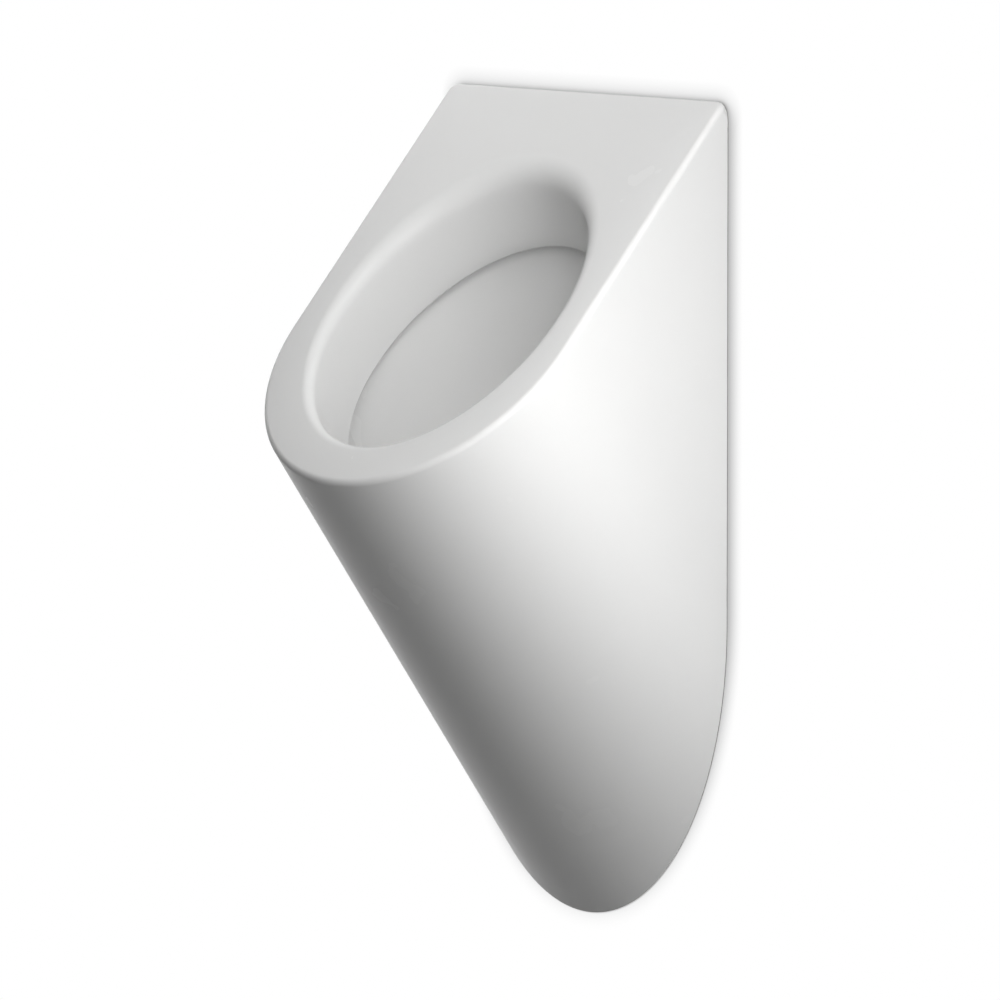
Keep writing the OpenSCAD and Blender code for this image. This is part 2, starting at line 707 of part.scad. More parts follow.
module wall_screw(x, z) {
  front = screw_head_y + screw_head_h;
  difference() {
    union() {
      rod(x, z, front, screw_head_y, screw_head_r);
      rod(x, z, screw_head_y + screw_head_h / 2, -over, shank_r);
      rod(x, z, 0, 2 * screw_r - screw_out, screw_r);
      tip(x, z, 2 * screw_r - screw_out, -screw_out, screw_r, screw_r / 4);
    }
    block(x - screw_head_r, x + screw_head_r, -front - over, slot_d - front, z - slot_w / 2, z + slot_w / 2);
    block(x - slot_w / 2, x + slot_w / 2, -front - over, slot_d - front, z - screw_head_r, z + screw_head_r);
  }
}
module wall_screws() {
  for (side = [-1, 1]) for (z = screw_zs) wall_screw(side * hanger_x, z);
}
module screw_washers() {
  for (side = [-1, 1])
    for (z = screw_zs) washer(side * hanger_x, z, screw_head_y, bracket_t, washer_r, screw_hole_r);
}

// Spreader in its bore, held by a rubber sleeve that the nut squeezes, and the nipple behind it
module spreader() {
  wall = spray_head_t;
  difference() {
    union() {
      rod(0, inlet_h, spray_head_front, spray_head_back, spray_head_r);
      rod(0, inlet_h, spray_head_back + over, stem_end, stem_r);
    }
    rod(0, inlet_h, spray_head_front - wall, spray_head_back + wall, spray_head_r - wall);
    rod(0, inlet_h, spray_head_back + 2 * wall, stem_end - over, stem_bore_r);
    for (i = [0:spray_count - 1])
      translate([0, -spray_y, inlet_h])
        rotate([0, 180 + spray_turn * (i - (spray_count - 1) / 2), 0])
          cylinder(h = spray_head_r + over, r = spray_r);
  }
}
module spreader_gasket() {
  washer(0, inlet_h, spray_head_back, pocket_floor_y, inlet_bore_r - thread_gap, stem_r + thread_gap);
}
module spreader_nut() {
  difference() {
    hexagon(inlet_h, pocket_floor_y, pocket_floor_y - spreader_nut_h, spreader_nut_r);
    rod(0, inlet_h, pocket_floor_y + over, 0, stem_r + thread_gap);
  }
}
module inlet_oring() torus_y(inlet_h, inlet_oring_y, inlet_oring_r);
module inlet_seal() washer(0, inlet_h, inlet_seal_t, 0, nipple_hex_r * cos(30), nipple_r + thread_gap);
module inlet_nipple() {
  difference() {
    union() {
      rod(0, inlet_h, spigot_tip, 0, spigot_r);
      rod(0, inlet_h, nipple_hex_y - nipple_hex_t / 2, -over, nipple_r - relief_d);
      rod(0, inlet_h, 0, bevel - nipple_l, nipple_r);
      tip(0, inlet_h, bevel - nipple_l, -nipple_l, nipple_r, nipple_r - bevel);
      hexagon(inlet_h, nipple_hex_y, inlet_seal_t, nipple_hex_r);
    }
    rod(0, inlet_h, spigot_tip + over, -nipple_l - over, nipple_bore_r);
    washer(0, inlet_h, inlet_oring_y + groove_r, inlet_oring_y - groove_r, stem_bore_r + over,
      inlet_oring_r - groove_r);
  }
}

// Waste, its seals and its nut
module waste_body() {
  difference() {
    union() {
      post(waste_under_z, waste_top_z - bevel, waste_flange_r);
      cone(waste_top_z - bevel, waste_top_z, waste_flange_r, waste_flange_r - bevel);
      post(waste_end_z, waste_under_z + over, waste_tube_r);
    }
    post(strainer_z, waste_top_z + over, strainer_seat_r);
    post(shoulder_z, waste_top_z, waste_mouth_r);
    post(waste_end_z - over, waste_top_z, waste_bore_r);
  }
}
module waste_top_gasket() ring(seat_z, waste_under_z, waste_flange_r, waste_tube_r + clear);
module waste_under_gasket() ring(under_gasket_z, floor_under_z, backnut_r, waste_tube_r + clear);
module waste_slip_washer() ring(slip_washer_z, under_gasket_z, backnut_r, waste_tube_r + clear);
module waste_backnut() {
  difference() {
    translate([0, -waste_y, backnut_z]) cylinder(h = backnut_h, r = backnut_r, $fn = 6);
    post(backnut_z - over, slip_washer_z + over, waste_tube_r + thread_gap);
  }
}

// Strainer that lies in the waste and the dip tube under it
module strainer() {
  top = strainer_z + strainer_t;
  knob_z = top + dome_h;
  bow = [for (i = [0:6]) [dome_r * cos(90 * i / 6), dome_h * sin(90 * i / 6)]];
  inner_share = 1 - strainer_t / dome_r;
  difference() {
    union() {
      translate([0, -waste_y, 0]) rotate_extrude() polygon(concat(
        [[strainer_r, strainer_z], [strainer_r, top]],
        [for (p = bow) [p[0], top + p[1]]],
        [for (i = [6:-1:0]) [bow[i][0] * inner_share, strainer_z + bow[i][1]]]
      ));
      post(knob_z - over, knob_z + knob_h * knob_shares[1], knob_r * knob_shares[1]);
      cone(knob_z + knob_h * knob_shares[0], knob_z + knob_h * knob_shares[1], knob_r * knob_shares[1], knob_r);
      post(knob_z + knob_h * knob_shares[1], knob_z + knob_h, knob_r);
    }
    for (row = strainer_rows)
      for (i = [0:row[1] - 1])
        translate([
          dome_r * row[0] * cos(360 * i / row[1]),
          -waste_y + dome_r * row[0] * sin(360 * i / row[1]),
          strainer_z - over
        ]) cylinder(h = dome_h + strainer_t + 2 * over, r = strainer_hole_r, $fn = 16);
  }
}
module dip_tube() {
  difference() {
    union() {
      post(shoulder_z, shoulder_z + collar_h, collar_r);
      post(dip_end_z, shoulder_z + over, dip_r);
    }
    post(dip_end_z - over, shoulder_z + collar_h + over, dip_bore_r);
    for (z = dip_oring_zs) ring(z - groove_r, z + groove_r, waste_bore_r + over, dip_oring_r - groove_r);
  }
}
module dip_tube_orings() {
  for (z = dip_oring_zs) torus_z(z, dip_oring_r);
}

// Bottle trap: union, head, cup and outlet
module trap_union_nut() {
  low = union_collar_z - nut_lip_t;
  high = union_collar_z + union_nut_h;
  difference() {
    union() {
      post(low, high, union_nut_r - rib_r / 2);
      ribs_z(low, high, union_nut_r - rib_r / 2);
    }
    post(union_collar_z, waste_end_z, union_collar_r + clear);
    post(waste_end_z - over, high + over, waste_tube_r + thread_gap);
    post(low - over, waste_end_z, neck_r + clear);
  }
}
module trap_union_washer() {
  ring(waste_end_z - union_washer_t, waste_end_z, union_collar_r, waste_bore_r + clear);
}
module trap_head() {
  difference() {
    union() {
      post(union_collar_z, union_collar_z + union_collar_t, union_collar_r);
      post(head_top_z - over, union_collar_z + over, neck_r);
      post(head_end_z, head_top_z, head_r);
      rod(0, outlet_z, waste_y, branch_end, branch_r);
    }
    post(head_end_z - over, head_top_z - trap_wall, head_r - trap_wall);
    post(head_end_z, union_collar_z + union_collar_t + over, waste_bore_r);
    rod(0, outlet_z, pipe_end, branch_end - over, outlet_r + clear);
    rod(0, outlet_z, waste_y, branch_end, outlet_r - outlet_wall);
  }
}
module trap_cup() {
  difference() {
    union() {
      post(cup_shoulder_z, cup_rim_z, cup_collar_r);
      ribs_z(cup_shoulder_z, cup_rim_z, cup_collar_r);
      post(cup_centre_z, cup_shoulder_z + over, cup_r);
      translate([0, -waste_y, cup_centre_z]) sphere(r = cup_r);
    }
    post(cup_seat_z, cup_rim_z + over, head_r + thread_gap);
    post(cup_centre_z, cup_seat_z + over, cup_r - trap_wall);
    translate([0, -waste_y, cup_centre_z]) sphere(r = cup_r - trap_wall);
  }
}
module trap_cup_seal() ring(cup_seat_z, head_end_z, head_r, head_r - trap_wall);
module outlet_nut() {
  difference() {
    union() {
      rod(0, outlet_z, outlet_nut_front, outlet_nut_back, outlet_nut_r - rib_r / 2);
      ribs_y(outlet_z, outlet_nut_front, outlet_nut_back, outlet_nut_r - rib_r / 2);
    }
    rod(0, outlet_z, outlet_nut_front + over, outlet_nut_back + nut_lip_t, branch_r + thread_gap);
    rod(0, outlet_z, outlet_nut_front, outlet_nut_back - over, outlet_r + clear);
  }
}
module outlet_seal() {
  difference() {
    tip(0, outlet_z, branch_end, seal_out_y, branch_r, outlet_r + bevel);
    rod(0, outlet_z, branch_end + over, seal_out_y - over, outlet_r + thread_gap);
  }
}
module outlet_pipe() {
  difference() {
    union() {
      rod(0, outlet_z, pipe_end, bevel - outlet_out, outlet_r);
      rod(0, outlet_z, bead_front, bead_front - bead_w, outlet_r + bead_rise);
      tip(0, outlet_z, bevel - outlet_out, -outlet_out, outlet_r, outlet_r - bevel);
    }
    rod(0, outlet_z, pipe_end + over, -outlet_out - over, outlet_r - outlet_wall);
  }
}

// Everything is set down about the middle of the four wall screws
module placed() translate([0, 0, -hanger_h]) children();

placed() color(china) ceramic_body();
placed() color(zinc) hanger_bracket(-hanger_x);  // hanger_bracket_left
placed() color(zinc) hanger_bracket(hanger_x);  // hanger_bracket_right
placed() color(grey_plastic) hanger_saddles();
placed() color(zinc) wall_screws();
placed() color(zinc) screw_washers();
placed() color(white_plastic) spreader();
placed() color(rubber) spreader_gasket();
placed() color(brass) spreader_nut();
placed() color(rubber) inlet_oring();
placed() color(rubber) inlet_seal();
placed() color(brass) inlet_nipple();
placed() color(chrome) waste_body();
placed() color(rubber) waste_top_gasket();
placed() color(rubber) waste_under_gasket();
placed() color(white_plastic) waste_slip_washer();
placed() color(brass) waste_backnut();
placed() color(chrome) strainer();
placed() color(grey_plastic) dip_tube();
placed() color(rubber) dip_tube_orings();
placed() color(white_plastic) trap_union_nut();
placed() color(rubber) trap_union_washer();
placed() color(white_plastic) trap_head();
placed() color(white_plastic) trap_cup();
placed() color(rubber) trap_cup_seal();
placed() color(white_plastic) outlet_nut();
placed() color(rubber) outlet_seal();
placed() color(white_plastic) outlet_pipe();
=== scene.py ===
import json
import math
from types import SimpleNamespace

import bmesh
import bpy
import numpy as np
from mathutils import Matrix, Vector

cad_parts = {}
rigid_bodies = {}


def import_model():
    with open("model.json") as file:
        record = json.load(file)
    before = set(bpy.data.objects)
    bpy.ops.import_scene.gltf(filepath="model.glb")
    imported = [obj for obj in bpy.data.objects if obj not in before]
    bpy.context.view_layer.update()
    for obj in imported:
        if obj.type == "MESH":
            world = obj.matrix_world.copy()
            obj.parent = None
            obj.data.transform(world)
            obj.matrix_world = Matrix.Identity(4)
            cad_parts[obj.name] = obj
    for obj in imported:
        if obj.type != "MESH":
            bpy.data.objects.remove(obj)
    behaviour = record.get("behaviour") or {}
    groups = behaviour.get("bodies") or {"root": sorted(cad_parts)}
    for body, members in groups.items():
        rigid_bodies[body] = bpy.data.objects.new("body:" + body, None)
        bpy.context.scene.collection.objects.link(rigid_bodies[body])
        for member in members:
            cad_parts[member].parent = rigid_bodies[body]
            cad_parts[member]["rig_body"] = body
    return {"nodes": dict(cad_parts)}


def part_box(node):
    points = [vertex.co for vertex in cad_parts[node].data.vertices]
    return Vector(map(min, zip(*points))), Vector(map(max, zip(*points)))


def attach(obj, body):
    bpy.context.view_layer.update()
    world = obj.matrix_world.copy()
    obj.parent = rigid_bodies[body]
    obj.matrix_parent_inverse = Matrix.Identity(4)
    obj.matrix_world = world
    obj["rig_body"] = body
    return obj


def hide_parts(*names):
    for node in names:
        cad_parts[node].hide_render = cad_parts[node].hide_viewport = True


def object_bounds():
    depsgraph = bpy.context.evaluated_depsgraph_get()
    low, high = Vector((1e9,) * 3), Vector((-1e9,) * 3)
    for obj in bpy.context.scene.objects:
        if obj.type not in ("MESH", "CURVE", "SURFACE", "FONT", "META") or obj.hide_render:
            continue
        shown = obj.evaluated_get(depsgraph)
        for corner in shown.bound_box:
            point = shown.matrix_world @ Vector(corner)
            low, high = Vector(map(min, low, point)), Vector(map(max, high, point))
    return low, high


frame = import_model()
print("frame loaded:", len(frame["nodes"]), "nodes")


def boxCorners():
    low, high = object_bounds()
    return [list(low), list(high)]


cadBox = boxCorners()
mm = 0.001  # pieces are drawn in millimetres and brought to metres by this


# Small helpers for shader and geometry node trees
def addNode(tree, kind, settings=None, inputs=None):
    node = tree.nodes.new(kind)
    for name, value in (settings or {}).items():
        setattr(node, name, value)
    for name, value in (inputs or {}).items():
        if isinstance(value, bpy.types.NodeSocket):
            tree.links.new(value, node.inputs[name])
        else:
            node.inputs[name].default_value = value
    return node


def calc(tree, operation, *values):
    return addNode(tree, "ShaderNodeMath", {"operation": operation}, dict(enumerate(values))).outputs[0]


def newGroup(name, kind, inputs, outputs):
    tree = bpy.data.node_groups.new(name, kind)
    for label, socketKind, value in inputs:
        socket = tree.interface.new_socket(name=label, in_out="INPUT", socket_type=socketKind)
        if value is not None:
            socket.default_value = value
    for label, socketKind in outputs:
        tree.interface.new_socket(name=label, in_out="OUTPUT", socket_type=socketKind)
    return tree, tree.nodes.new("NodeGroupInput"), tree.nodes.new("NodeGroupOutput")


def useGroup(tree, group, inputs):
    return addNode(tree, "ShaderNodeGroup", {"node_tree": group}, inputs)


def seenDirectly(tree):
    # 1 on rays from the camera, by way of mirrors and through glass, and 0 on light that bounces
    path = addNode(tree, "ShaderNodeLightPath").outputs
    mirrored = calc(tree, "MAXIMUM", path["Is Camera Ray"], path["Is Glossy Ray"])
    return calc(tree, "MAXIMUM", mirrored, path["Is Transmission Ray"])


# Shared surface effect: soft patches in the colour and the gloss, and a fine height for a bump
def buildGrain():
    tree, given, made = newGroup(
        "surfaceGrain", "ShaderNodeTree",
        [
            ("Colour", "NodeSocketColor", (0.8, 0.8, 0.8, 1)),
            ("Patch Depth", "NodeSocketFloat", 0.03),
            ("Patch Scale", "NodeSocketFloat", 12.0),
            ("Gloss", "NodeSocketFloat", 0.3),
            ("Gloss Spread", "NodeSocketFloat", 0.05),
            ("Grain Scale", "NodeSocketFloat", 400.0),
        ],
        [("Colour", "NodeSocketColor"), ("Roughness", "NodeSocketFloat"), ("Height", "NodeSocketFloat")],
    )
    place = addNode(tree, "ShaderNodeTexCoord").outputs["Object"]
    patches = addNode(
        tree, "ShaderNodeTexNoise", {"noise_dimensions": "3D"},
        {"Vector": place, "Scale": given.outputs["Patch Scale"], "Detail": 3.0, "Roughness": 0.55},
    )
    patch = patches.outputs["Fac"]
    share = calc(tree, "SUBTRACT", 1.0, calc(tree, "MULTIPLY", patch, given.outputs["Patch Depth"]))
    tint = addNode(
        tree, "ShaderNodeVectorMath", {"operation": "SCALE"}, {0: given.outputs["Colour"], "Scale": share}
    )
    tree.links.new(tint.outputs["Vector"], made.inputs["Colour"])
    spread = calc(tree, "MULTIPLY_ADD", patch, given.outputs["Gloss Spread"], given.outputs["Gloss"])
    tree.links.new(spread, made.inputs["Roughness"])
    grain = addNode(
        tree, "ShaderNodeTexNoise", {"noise_dimensions": "3D"},
        {"Vector": place, "Scale": given.outputs["Grain Scale"], "Detail": 2.0},
    )
    tree.links.new(grain.outputs["Fac"], made.inputs["Height"])
    return tree


# Shared mask: 1 on the band that touches the wall and 0 in front of it
def buildWallBand():
    tree, given, made = newGroup(
        "wallBand", "ShaderNodeTree",
        [("Start", "NodeSocketFloat", -0.0016), ("Full", "NodeSocketFloat", -0.0006)],
        [("Mask", "NodeSocketFloat")],
    )
    place = addNode(tree, "ShaderNodeTexCoord").outputs["Object"]
    axes = addNode(tree, "ShaderNodeSeparateXYZ", inputs={"Vector": place})
    ramp = addNode(
        tree, "ShaderNodeMapRange", {"interpolation_type": "SMOOTHSTEP"},
        {"Value": axes.outputs["Y"], "From Min": given.outputs["Start"], "From Max": given.outputs["Full"]},
    )
    tree.links.new(ramp.outputs["Result"], made.inputs["Mask"])
    return tree


grainGroup = buildGrain()
wallBandGroup = buildWallBand()

# One row of settings for each finish. Colours are linear, and the grain's bump is given in metres
grainHeight = 0.0004
finishes = {
    "glaze": {
        "colour": (0.79, 0.79, 0.785), "gloss": 0.24, "spread": 0.05, "bump": 0.01, "depth": 0.02, "shine": 0.15,
    },
    "whitePlastic": {"colour": (0.76, 0.76, 0.74), "gloss": 0.28, "spread": 0.1, "bump": 0.04, "depth": 0.05},
    "greyPlastic": {"colour": (0.23, 0.25, 0.27), "gloss": 0.42, "spread": 0.1, "bump": 0.08, "depth": 0.08},
    "pipePlastic": {"colour": (0.55, 0.56, 0.56), "gloss": 0.36, "spread": 0.1, "bump": 0.05, "depth": 0.06},
    "blackRubber": {"colour": (0.022, 0.022, 0.024), "gloss": 0.62, "spread": 0.15, "bump": 0.15, "depth": 0.2},
    "chrome": {
        "colour": (0.78, 0.79, 0.80), "gloss": 0.06, "spread": 0.06, "bump": 0.01, "depth": 0.04, "metal": 1.0,
    },
    "zincPlate": {
        "colour": (0.60, 0.62, 0.64), "gloss": 0.27, "spread": 0.2, "bump": 0.06, "depth": 0.18, "metal": 1.0,
    },
    "brass": {
        "colour": (0.70, 0.52, 0.23), "gloss": 0.22, "spread": 0.18, "bump": 0.05, "depth": 0.2, "metal": 1.0,
    },
}


def makeFinish(name, look):
    material = bpy.data.materials.new(name)
    material.use_nodes = True
    tree = material.node_tree
    shader = tree.nodes["Principled BSDF"]
    grain = useGroup(tree, grainGroup, {
        "Colour": (*look["colour"], 1),
        "Patch Depth": look["depth"],
        "Gloss": look["gloss"],
        "Gloss Spread": look["spread"],
    })
    tree.links.new(grain.outputs["Colour"], shader.inputs["Base Color"])
    tree.links.new(grain.outputs["Roughness"], shader.inputs["Roughness"])
    bump = addNode(tree, "ShaderNodeBump", inputs={
        "Strength": look["bump"], "Distance": grainHeight, "Height": grain.outputs["Height"],
    })
    tree.links.new(bump.outputs["Normal"], shader.inputs["Normal"])
    shader.inputs["Metallic"].default_value = look.get("metal", 0.0)
    shader.inputs["Specular IOR Level"].default_value = look.get("shine", 0.5)
    return material


materials = {name: makeFinish(name, look) for name, look in finishes.items()}


# The glaze stops where the body touches the wall, and bare fired clay shows there
bareClay = {"colour": (0.80, 0.77, 0.72, 1), "gloss": 0.7, "start": -0.0016, "full": -0.0006}


def addBareClay(material, clay):
    tree = material.node_tree
    shader = tree.nodes["Principled BSDF"]
    band = useGroup(tree, wallBandGroup, {"Start": clay["start"], "Full": clay["full"]})
    for name, bare in (("Base Color", clay["colour"]), ("Roughness", clay["gloss"])):
        glazed = shader.inputs[name].links[0].from_socket
        isColour = name == "Base Color"
        blend = addNode(tree, "ShaderNodeMix", {"data_type": "RGBA" if isColour else "FLOAT"})
        first, second, out = (6, 7, 2) if isColour else (2, 3, 0)  # the Mix node has sockets for each kind
        tree.links.new(band.outputs["Mask"], blend.inputs[0])
        tree.links.new(glazed, blend.inputs[first])
        blend.inputs[second].default_value = bare
        tree.links.new(blend.outputs[out], shader.inputs[name])


addBareClay(materials["glaze"], bareClay)
print("finishes made:", len(materials))


# Mesh helpers
def newObject(name, mesh, material):
    thing = bpy.data.objects.new(name, mesh)
    bpy.context.scene.collection.objects.link(thing)
    mesh.materials.clear()
    mesh.materials.append(material)
    return thing


def meshFromShape(name, shape):
    mesh = bpy.data.meshes.new(name)
    shape.to_mesh(mesh)
    shape.free()
    return mesh


def shadeByAngle(mesh, degrees):
    shape = bmesh.new()
    shape.from_mesh(mesh)
    limit = math.radians(degrees)
    for face in shape.faces:
        face.smooth = True
    for edge in shape.edges:
        edge.smooth = edge.calc_face_angle(0) < limit
    shape.to_mesh(mesh)
    shape.free()


def evaluatedMesh(thing):
    view = bpy.context.evaluated_depsgraph_get()
    return bpy.data.meshes.new_from_object(thing.evaluated_get(view))


# Ceramic body. Names and relations are those of the part's source, in millimetres
ceramicSize = {
    "bodyW": 310, "bodyH": 684, "bodyD": 300, "frontH": 380, "topBlunt": 4,
    "cornerR": 10, "cornerLeast": 0.25, "rimEdgeR": 5, "wallEdgeR": 1.6, "roomShare": 0.8,
    "shellT": 11, "flangeW": 17, "flangeT": 14, "rimT": 12, "panelT": 12, "panelSill": 9, "recess": 0.5,
    "rimSide": 25, "rimBack": 76, "rimFront": 34, "mouthEdgeR": 8, "mouthRoll": 16,
    "throatSide": 13, "throatFront": 3, "lipWall": 35, "lipDepth": 65, "undercut": 10, "hollowShare": 0.55,
    "bowlT": 11, "floorT": 18, "bowlBack": 20, "drainSeatD": 7, "drainLand": 2, "drainHoleR": 23, "seatGap": 1,
    "bossR": 30, "bossFoot": 4, "bossEndT": 5, "pocketD": 13, "pocketR": 18, "inletBoreR": 12,
    "flushW": 34, "flushT": 5, "flushH": 12, "flushLand": 7,
    "windowGap": 5, "saddleT": 2.4, "tongueH": 11, "hookGap": 8, "cutOver": 1, "flushOver": 3,
    "topSteps": 32, "cornerSteps": 12, "sideSteps": 24, "roundSteps": 160, "edgeSteps": 8, "slopeSteps": 8,
    "rowSteps": 5, "holeSteps": 128, "slotSteps": 64, "shadeAngle": 32,
}
# Shares that shape the bowl: front inwards, front downwards, back downwards, narrowing
bowlShares = [
    (0.00, 0.00, 0.00, 0.00), (0.03, 0.15, 0.08, 0.00), (0.11, 0.40, 0.23, 0.02), (0.20, 0.65, 0.42, 0.06),
    (0.32, 0.84, 0.61, 0.14), (0.46, 0.93, 0.77, 0.27), (0.62, 0.97, 0.89, 0.45), (0.80, 0.99, 0.96, 0.68),
    (1.00, 1.00, 1.00, 1.00),
]
lipShares = [(1, 1), (0.5, 0.55), (0.22, 0.45), (0, 0.2)]  # under the lip: outwards, downwards


def mix(a, b, share):
    return a + (b - a) * share


def smoothRows(rows, steps):
    # a soft curve through the rows, with this many steps between each two
    points = np.array(rows, float)
    ends = np.vstack((2 * points[0] - points[1], points, 2 * points[-1] - points[-2]))
    out = []
    for i in range(len(points) - 1):
        before, start, stop, after = ends[i:i + 4]
        for t in np.arange(steps) / steps:
            out.append(0.5 * (
                2 * start + (stop - before) * t
                + (2 * before - 5 * start + 4 * stop - after) * t ** 2
                + (3 * start - before - 3 * stop + after) * t ** 3
            ))
    return out + [points[-1]]


def arcPoints(centre, r, start, stop, steps):
    turns = np.radians(np.linspace(start, stop, steps + 1))
    return np.column_stack((centre[0] + r * np.cos(turns), centre[1] + r * np.sin(turns)))


def innerPoints(start, stop, steps):
    shares = np.linspace(0, 1, steps + 1)[1:-1, None]
    return np.array(start) + shares * (np.array(stop) - np.array(start))


body = SimpleNamespace(**ceramicSize)
halfW = body.bodyW / 2
rimDrop = body.bodyH - body.frontH
rimL = math.hypot(body.bodyD, rimDrop)
axisAngle = math.atan2(body.frontH, body.bodyD)
rimAngle = math.atan2(rimDrop, body.bodyD)
sinAxis, cosAxis = math.sin(axisAngle), math.cos(axisAngle)
sinRim, cosRim = math.sin(rimAngle), math.cos(rimAngle)
squareShare = math.sin(axisAngle + rimAngle)
sectionH = body.bodyH * cosAxis - body.topBlunt
mouthW = body.bodyW - 2 * body.rimSide
mouthL = rimL - body.rimBack - body.rimFront
mouthAt = body.rimBack + mouthL / 2
lipW = mouthW - 2 * body.throatSide
lipBackAt = (body.lipWall + body.lipDepth * sinRim) / cosRim
lipBackH = body.bodyH - lipBackAt * sinRim - body.lipDepth * cosRim
lipL = rimL - body.rimFront - body.throatFront - lipBackAt
lipAt = lipBackAt + lipL / 2

# Heights count from the body's lowest point. The hooks of the frame say where the wall screws' middle is
bracketLow, bracketHigh = (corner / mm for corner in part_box("hanger_bracket_right"))
hookTipUnder = -bracketLow.y * math.tan(rimAngle) + body.rimT / cosRim + body.hookGap
hangerH = body.bodyH - hookTipUnder - bracketHigh.z


def heightOf(rowZ):
    return rowZ / mm + hangerH


wasteLow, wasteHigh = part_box("waste_body")
wasteY = -(wasteLow.y + wasteHigh.y) / 2 / mm
seatR = (wasteHigh.x - wasteLow.x) / 2 / mm + body.seatGap
seatH = heightOf(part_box("waste_top_gasket")[0].z)
floorH = seatH + body.drainSeatD
floorUnderH = heightOf(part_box("waste_under_gasket")[1].z)
drainRimR = seatR + body.drainLand


def outline(inset):
    # the section square to the axis, as x and height in the section
    w, top = halfW - inset, sectionH - inset
    r = max(body.cornerR - inset, body.cornerR * body.cornerLeast)
    topLine = np.vstack(([[r - w, top]], innerPoints((r - w, top), (w - r, top), body.topSteps)))
    return np.vstack((
        topLine,
        arcPoints((w - r, top - r), r, 90, 0, body.cornerSteps),
        innerPoints((w, top - r), (w, halfW), body.sideSteps),
        arcPoints((0, halfW), w, 0, -180, body.roundSteps),
        innerPoints((-w, halfW), (-w, top - r), body.sideSteps),
        arcPoints((r - w, top - r), r, 180, 90, body.cornerSteps)[:-1],
    ))


def onAxis(points, along):
    x, q = points[:, 0], points[:, 1]
    return np.column_stack((x, q * sinAxis - along * cosAxis, q * cosAxis + along * sinAxis))


def alongToWall(q):
    return q * sinAxis / cosAxis


def alongToRim(q):
    run = body.bodyD * body.bodyH + q * (rimDrop * sinAxis - body.bodyD * cosAxis)
    return run / (rimDrop * cosAxis + body.bodyD * sinAxis)


def rimLoop(inset, drop):
    points = outline(inset)
    q = points[:, 1]
    room = alongToRim(q) - alongToWall(q)
    return onAxis(points, alongToRim(q) - np.minimum(drop, body.roomShare * room))


def wallLoop(inset, gap, keep):
    points = outline(inset)
    q = points[:, 1]
    room = alongToRim(q) - alongToWall(q) - keep
    return onAxis(points, alongToWall(q) + np.minimum(gap, room * gap / (gap + body.flangeT)))


def onRim(u, v, out):
    # a point on the rim's plane: across, down from the back edge, and out of the plane
    away, height = -v * cosRim - out * sinRim, body.bodyH - v * sinRim + out * cosRim
    return np.stack(np.broadcast_arrays(u, away, height), -1)


# Every oval has a point for each point of the outline, seen in the same direction from the mouth's middle
outerLine = outline(0)
ovalTurns = np.arctan2(
    outerLine[:, 0] / mouthW, ((body.bodyH * cosAxis - outerLine[:, 1]) / squareShare - mouthAt) / mouthL
)


def ovalOnRim(w, l, at, depth):
    return onRim(w / 2 * np.sin(ovalTurns), at + l / 2 * np.cos(ovalTurns), -depth)


def ovalBetween(front, back, w):
    centre, half = (front + back) / 2, (front - back) / 2
    across, along = np.sin(ovalTurns), np.cos(ovalTurns)
    return np.column_stack((w / 2 * across, centre[0] + half[0] * along, centre[1] + half[1] * along))


lipFront = onRim(0, lipAt + lipL / 2 + body.undercut, -body.lipDepth - body.undercut)
lipBack = onRim(0, lipAt - lipL / 2 - body.undercut, -body.lipDepth - body.undercut)
bowlW = lipW + 2 * body.undercut


def bowlLoop(row, grow):
    # grow is the wall's thickness outside the bowl, or 0 for the bowl's own surface
    front = np.array((mix(lipFront[1], -wasteY - drainRimR, row[0]), mix(lipFront[2], floorH, row[1])))
    back = np.array((mix(-body.bowlBack, -wasteY + drainRimR, row[3]), mix(lipBack[2], floorH, row[2])))
    if grow:
        outwards = (front - back) / np.linalg.norm(front - back) * grow
        sink = np.array((0, -body.floorT * row[1] ** 2))
        front, back = front + outwards + sink, back - outwards + sink
    return ovalBetween(front, back, mix(bowlW, 2 * drainRimR, row[3]) + 2 * grow)


# The mouth's edge turns over a radius that grows towards the back, then runs straight down to the lip
edgeGain = body.mouthRoll * ((1 - np.cos(ovalTurns)) / 2) ** 2
edgeR = body.mouthEdgeR + edgeGain


def edgeLoop(inwards, down):
    across = (mouthW / 2 - inwards) * np.sin(ovalTurns)
    return onRim(across, mouthAt + (mouthL / 2 - inwards) * np.cos(ovalTurns), -down)


def lipLoop(outwards, down):
    return ovalOnRim(lipW + 2 * outwards, lipL + 2 * outwards, lipAt, body.lipDepth + down)


def throatRows():
    # how far the lip stands in from the mouth's line decides where the turn ends
    lipTop = -body.undercut * lipShares[-1][1]
    away = lipLoop(0, lipTop) - edgeLoop(0, body.lipDepth + lipTop)
    radial = edgeLoop(1, 0) - edgeLoop(0, 0)
    inwards = (away * radial).sum(1) / (radial ** 2).sum(1)
    height = body.lipDepth + lipTop - edgeR
    reach = np.hypot(inwards, height)
    lastTurn = np.arctan2(height, inwards) + np.arcsin(edgeR / reach)
    turnRows = [
        edgeLoop(edgeR * np.sin(lastTurn * share), edgeR * (1 - np.cos(lastTurn * share)))
        for share in np.linspace(0, 1, body.edgeSteps + 1)
    ]
    slopeShares = np.linspace(0, 1, body.slopeSteps + 1)[1:]
    return turnRows + [mix(turnRows[-1], lipLoop(0, lipTop), share) for share in slopeShares]


def throatBack(share):
    # the hidden side of the throat, from under the turned edge to the lip
    return mix(edgeLoop(edgeR - body.bowlT, edgeR), lipLoop(body.bowlT, 0), share)


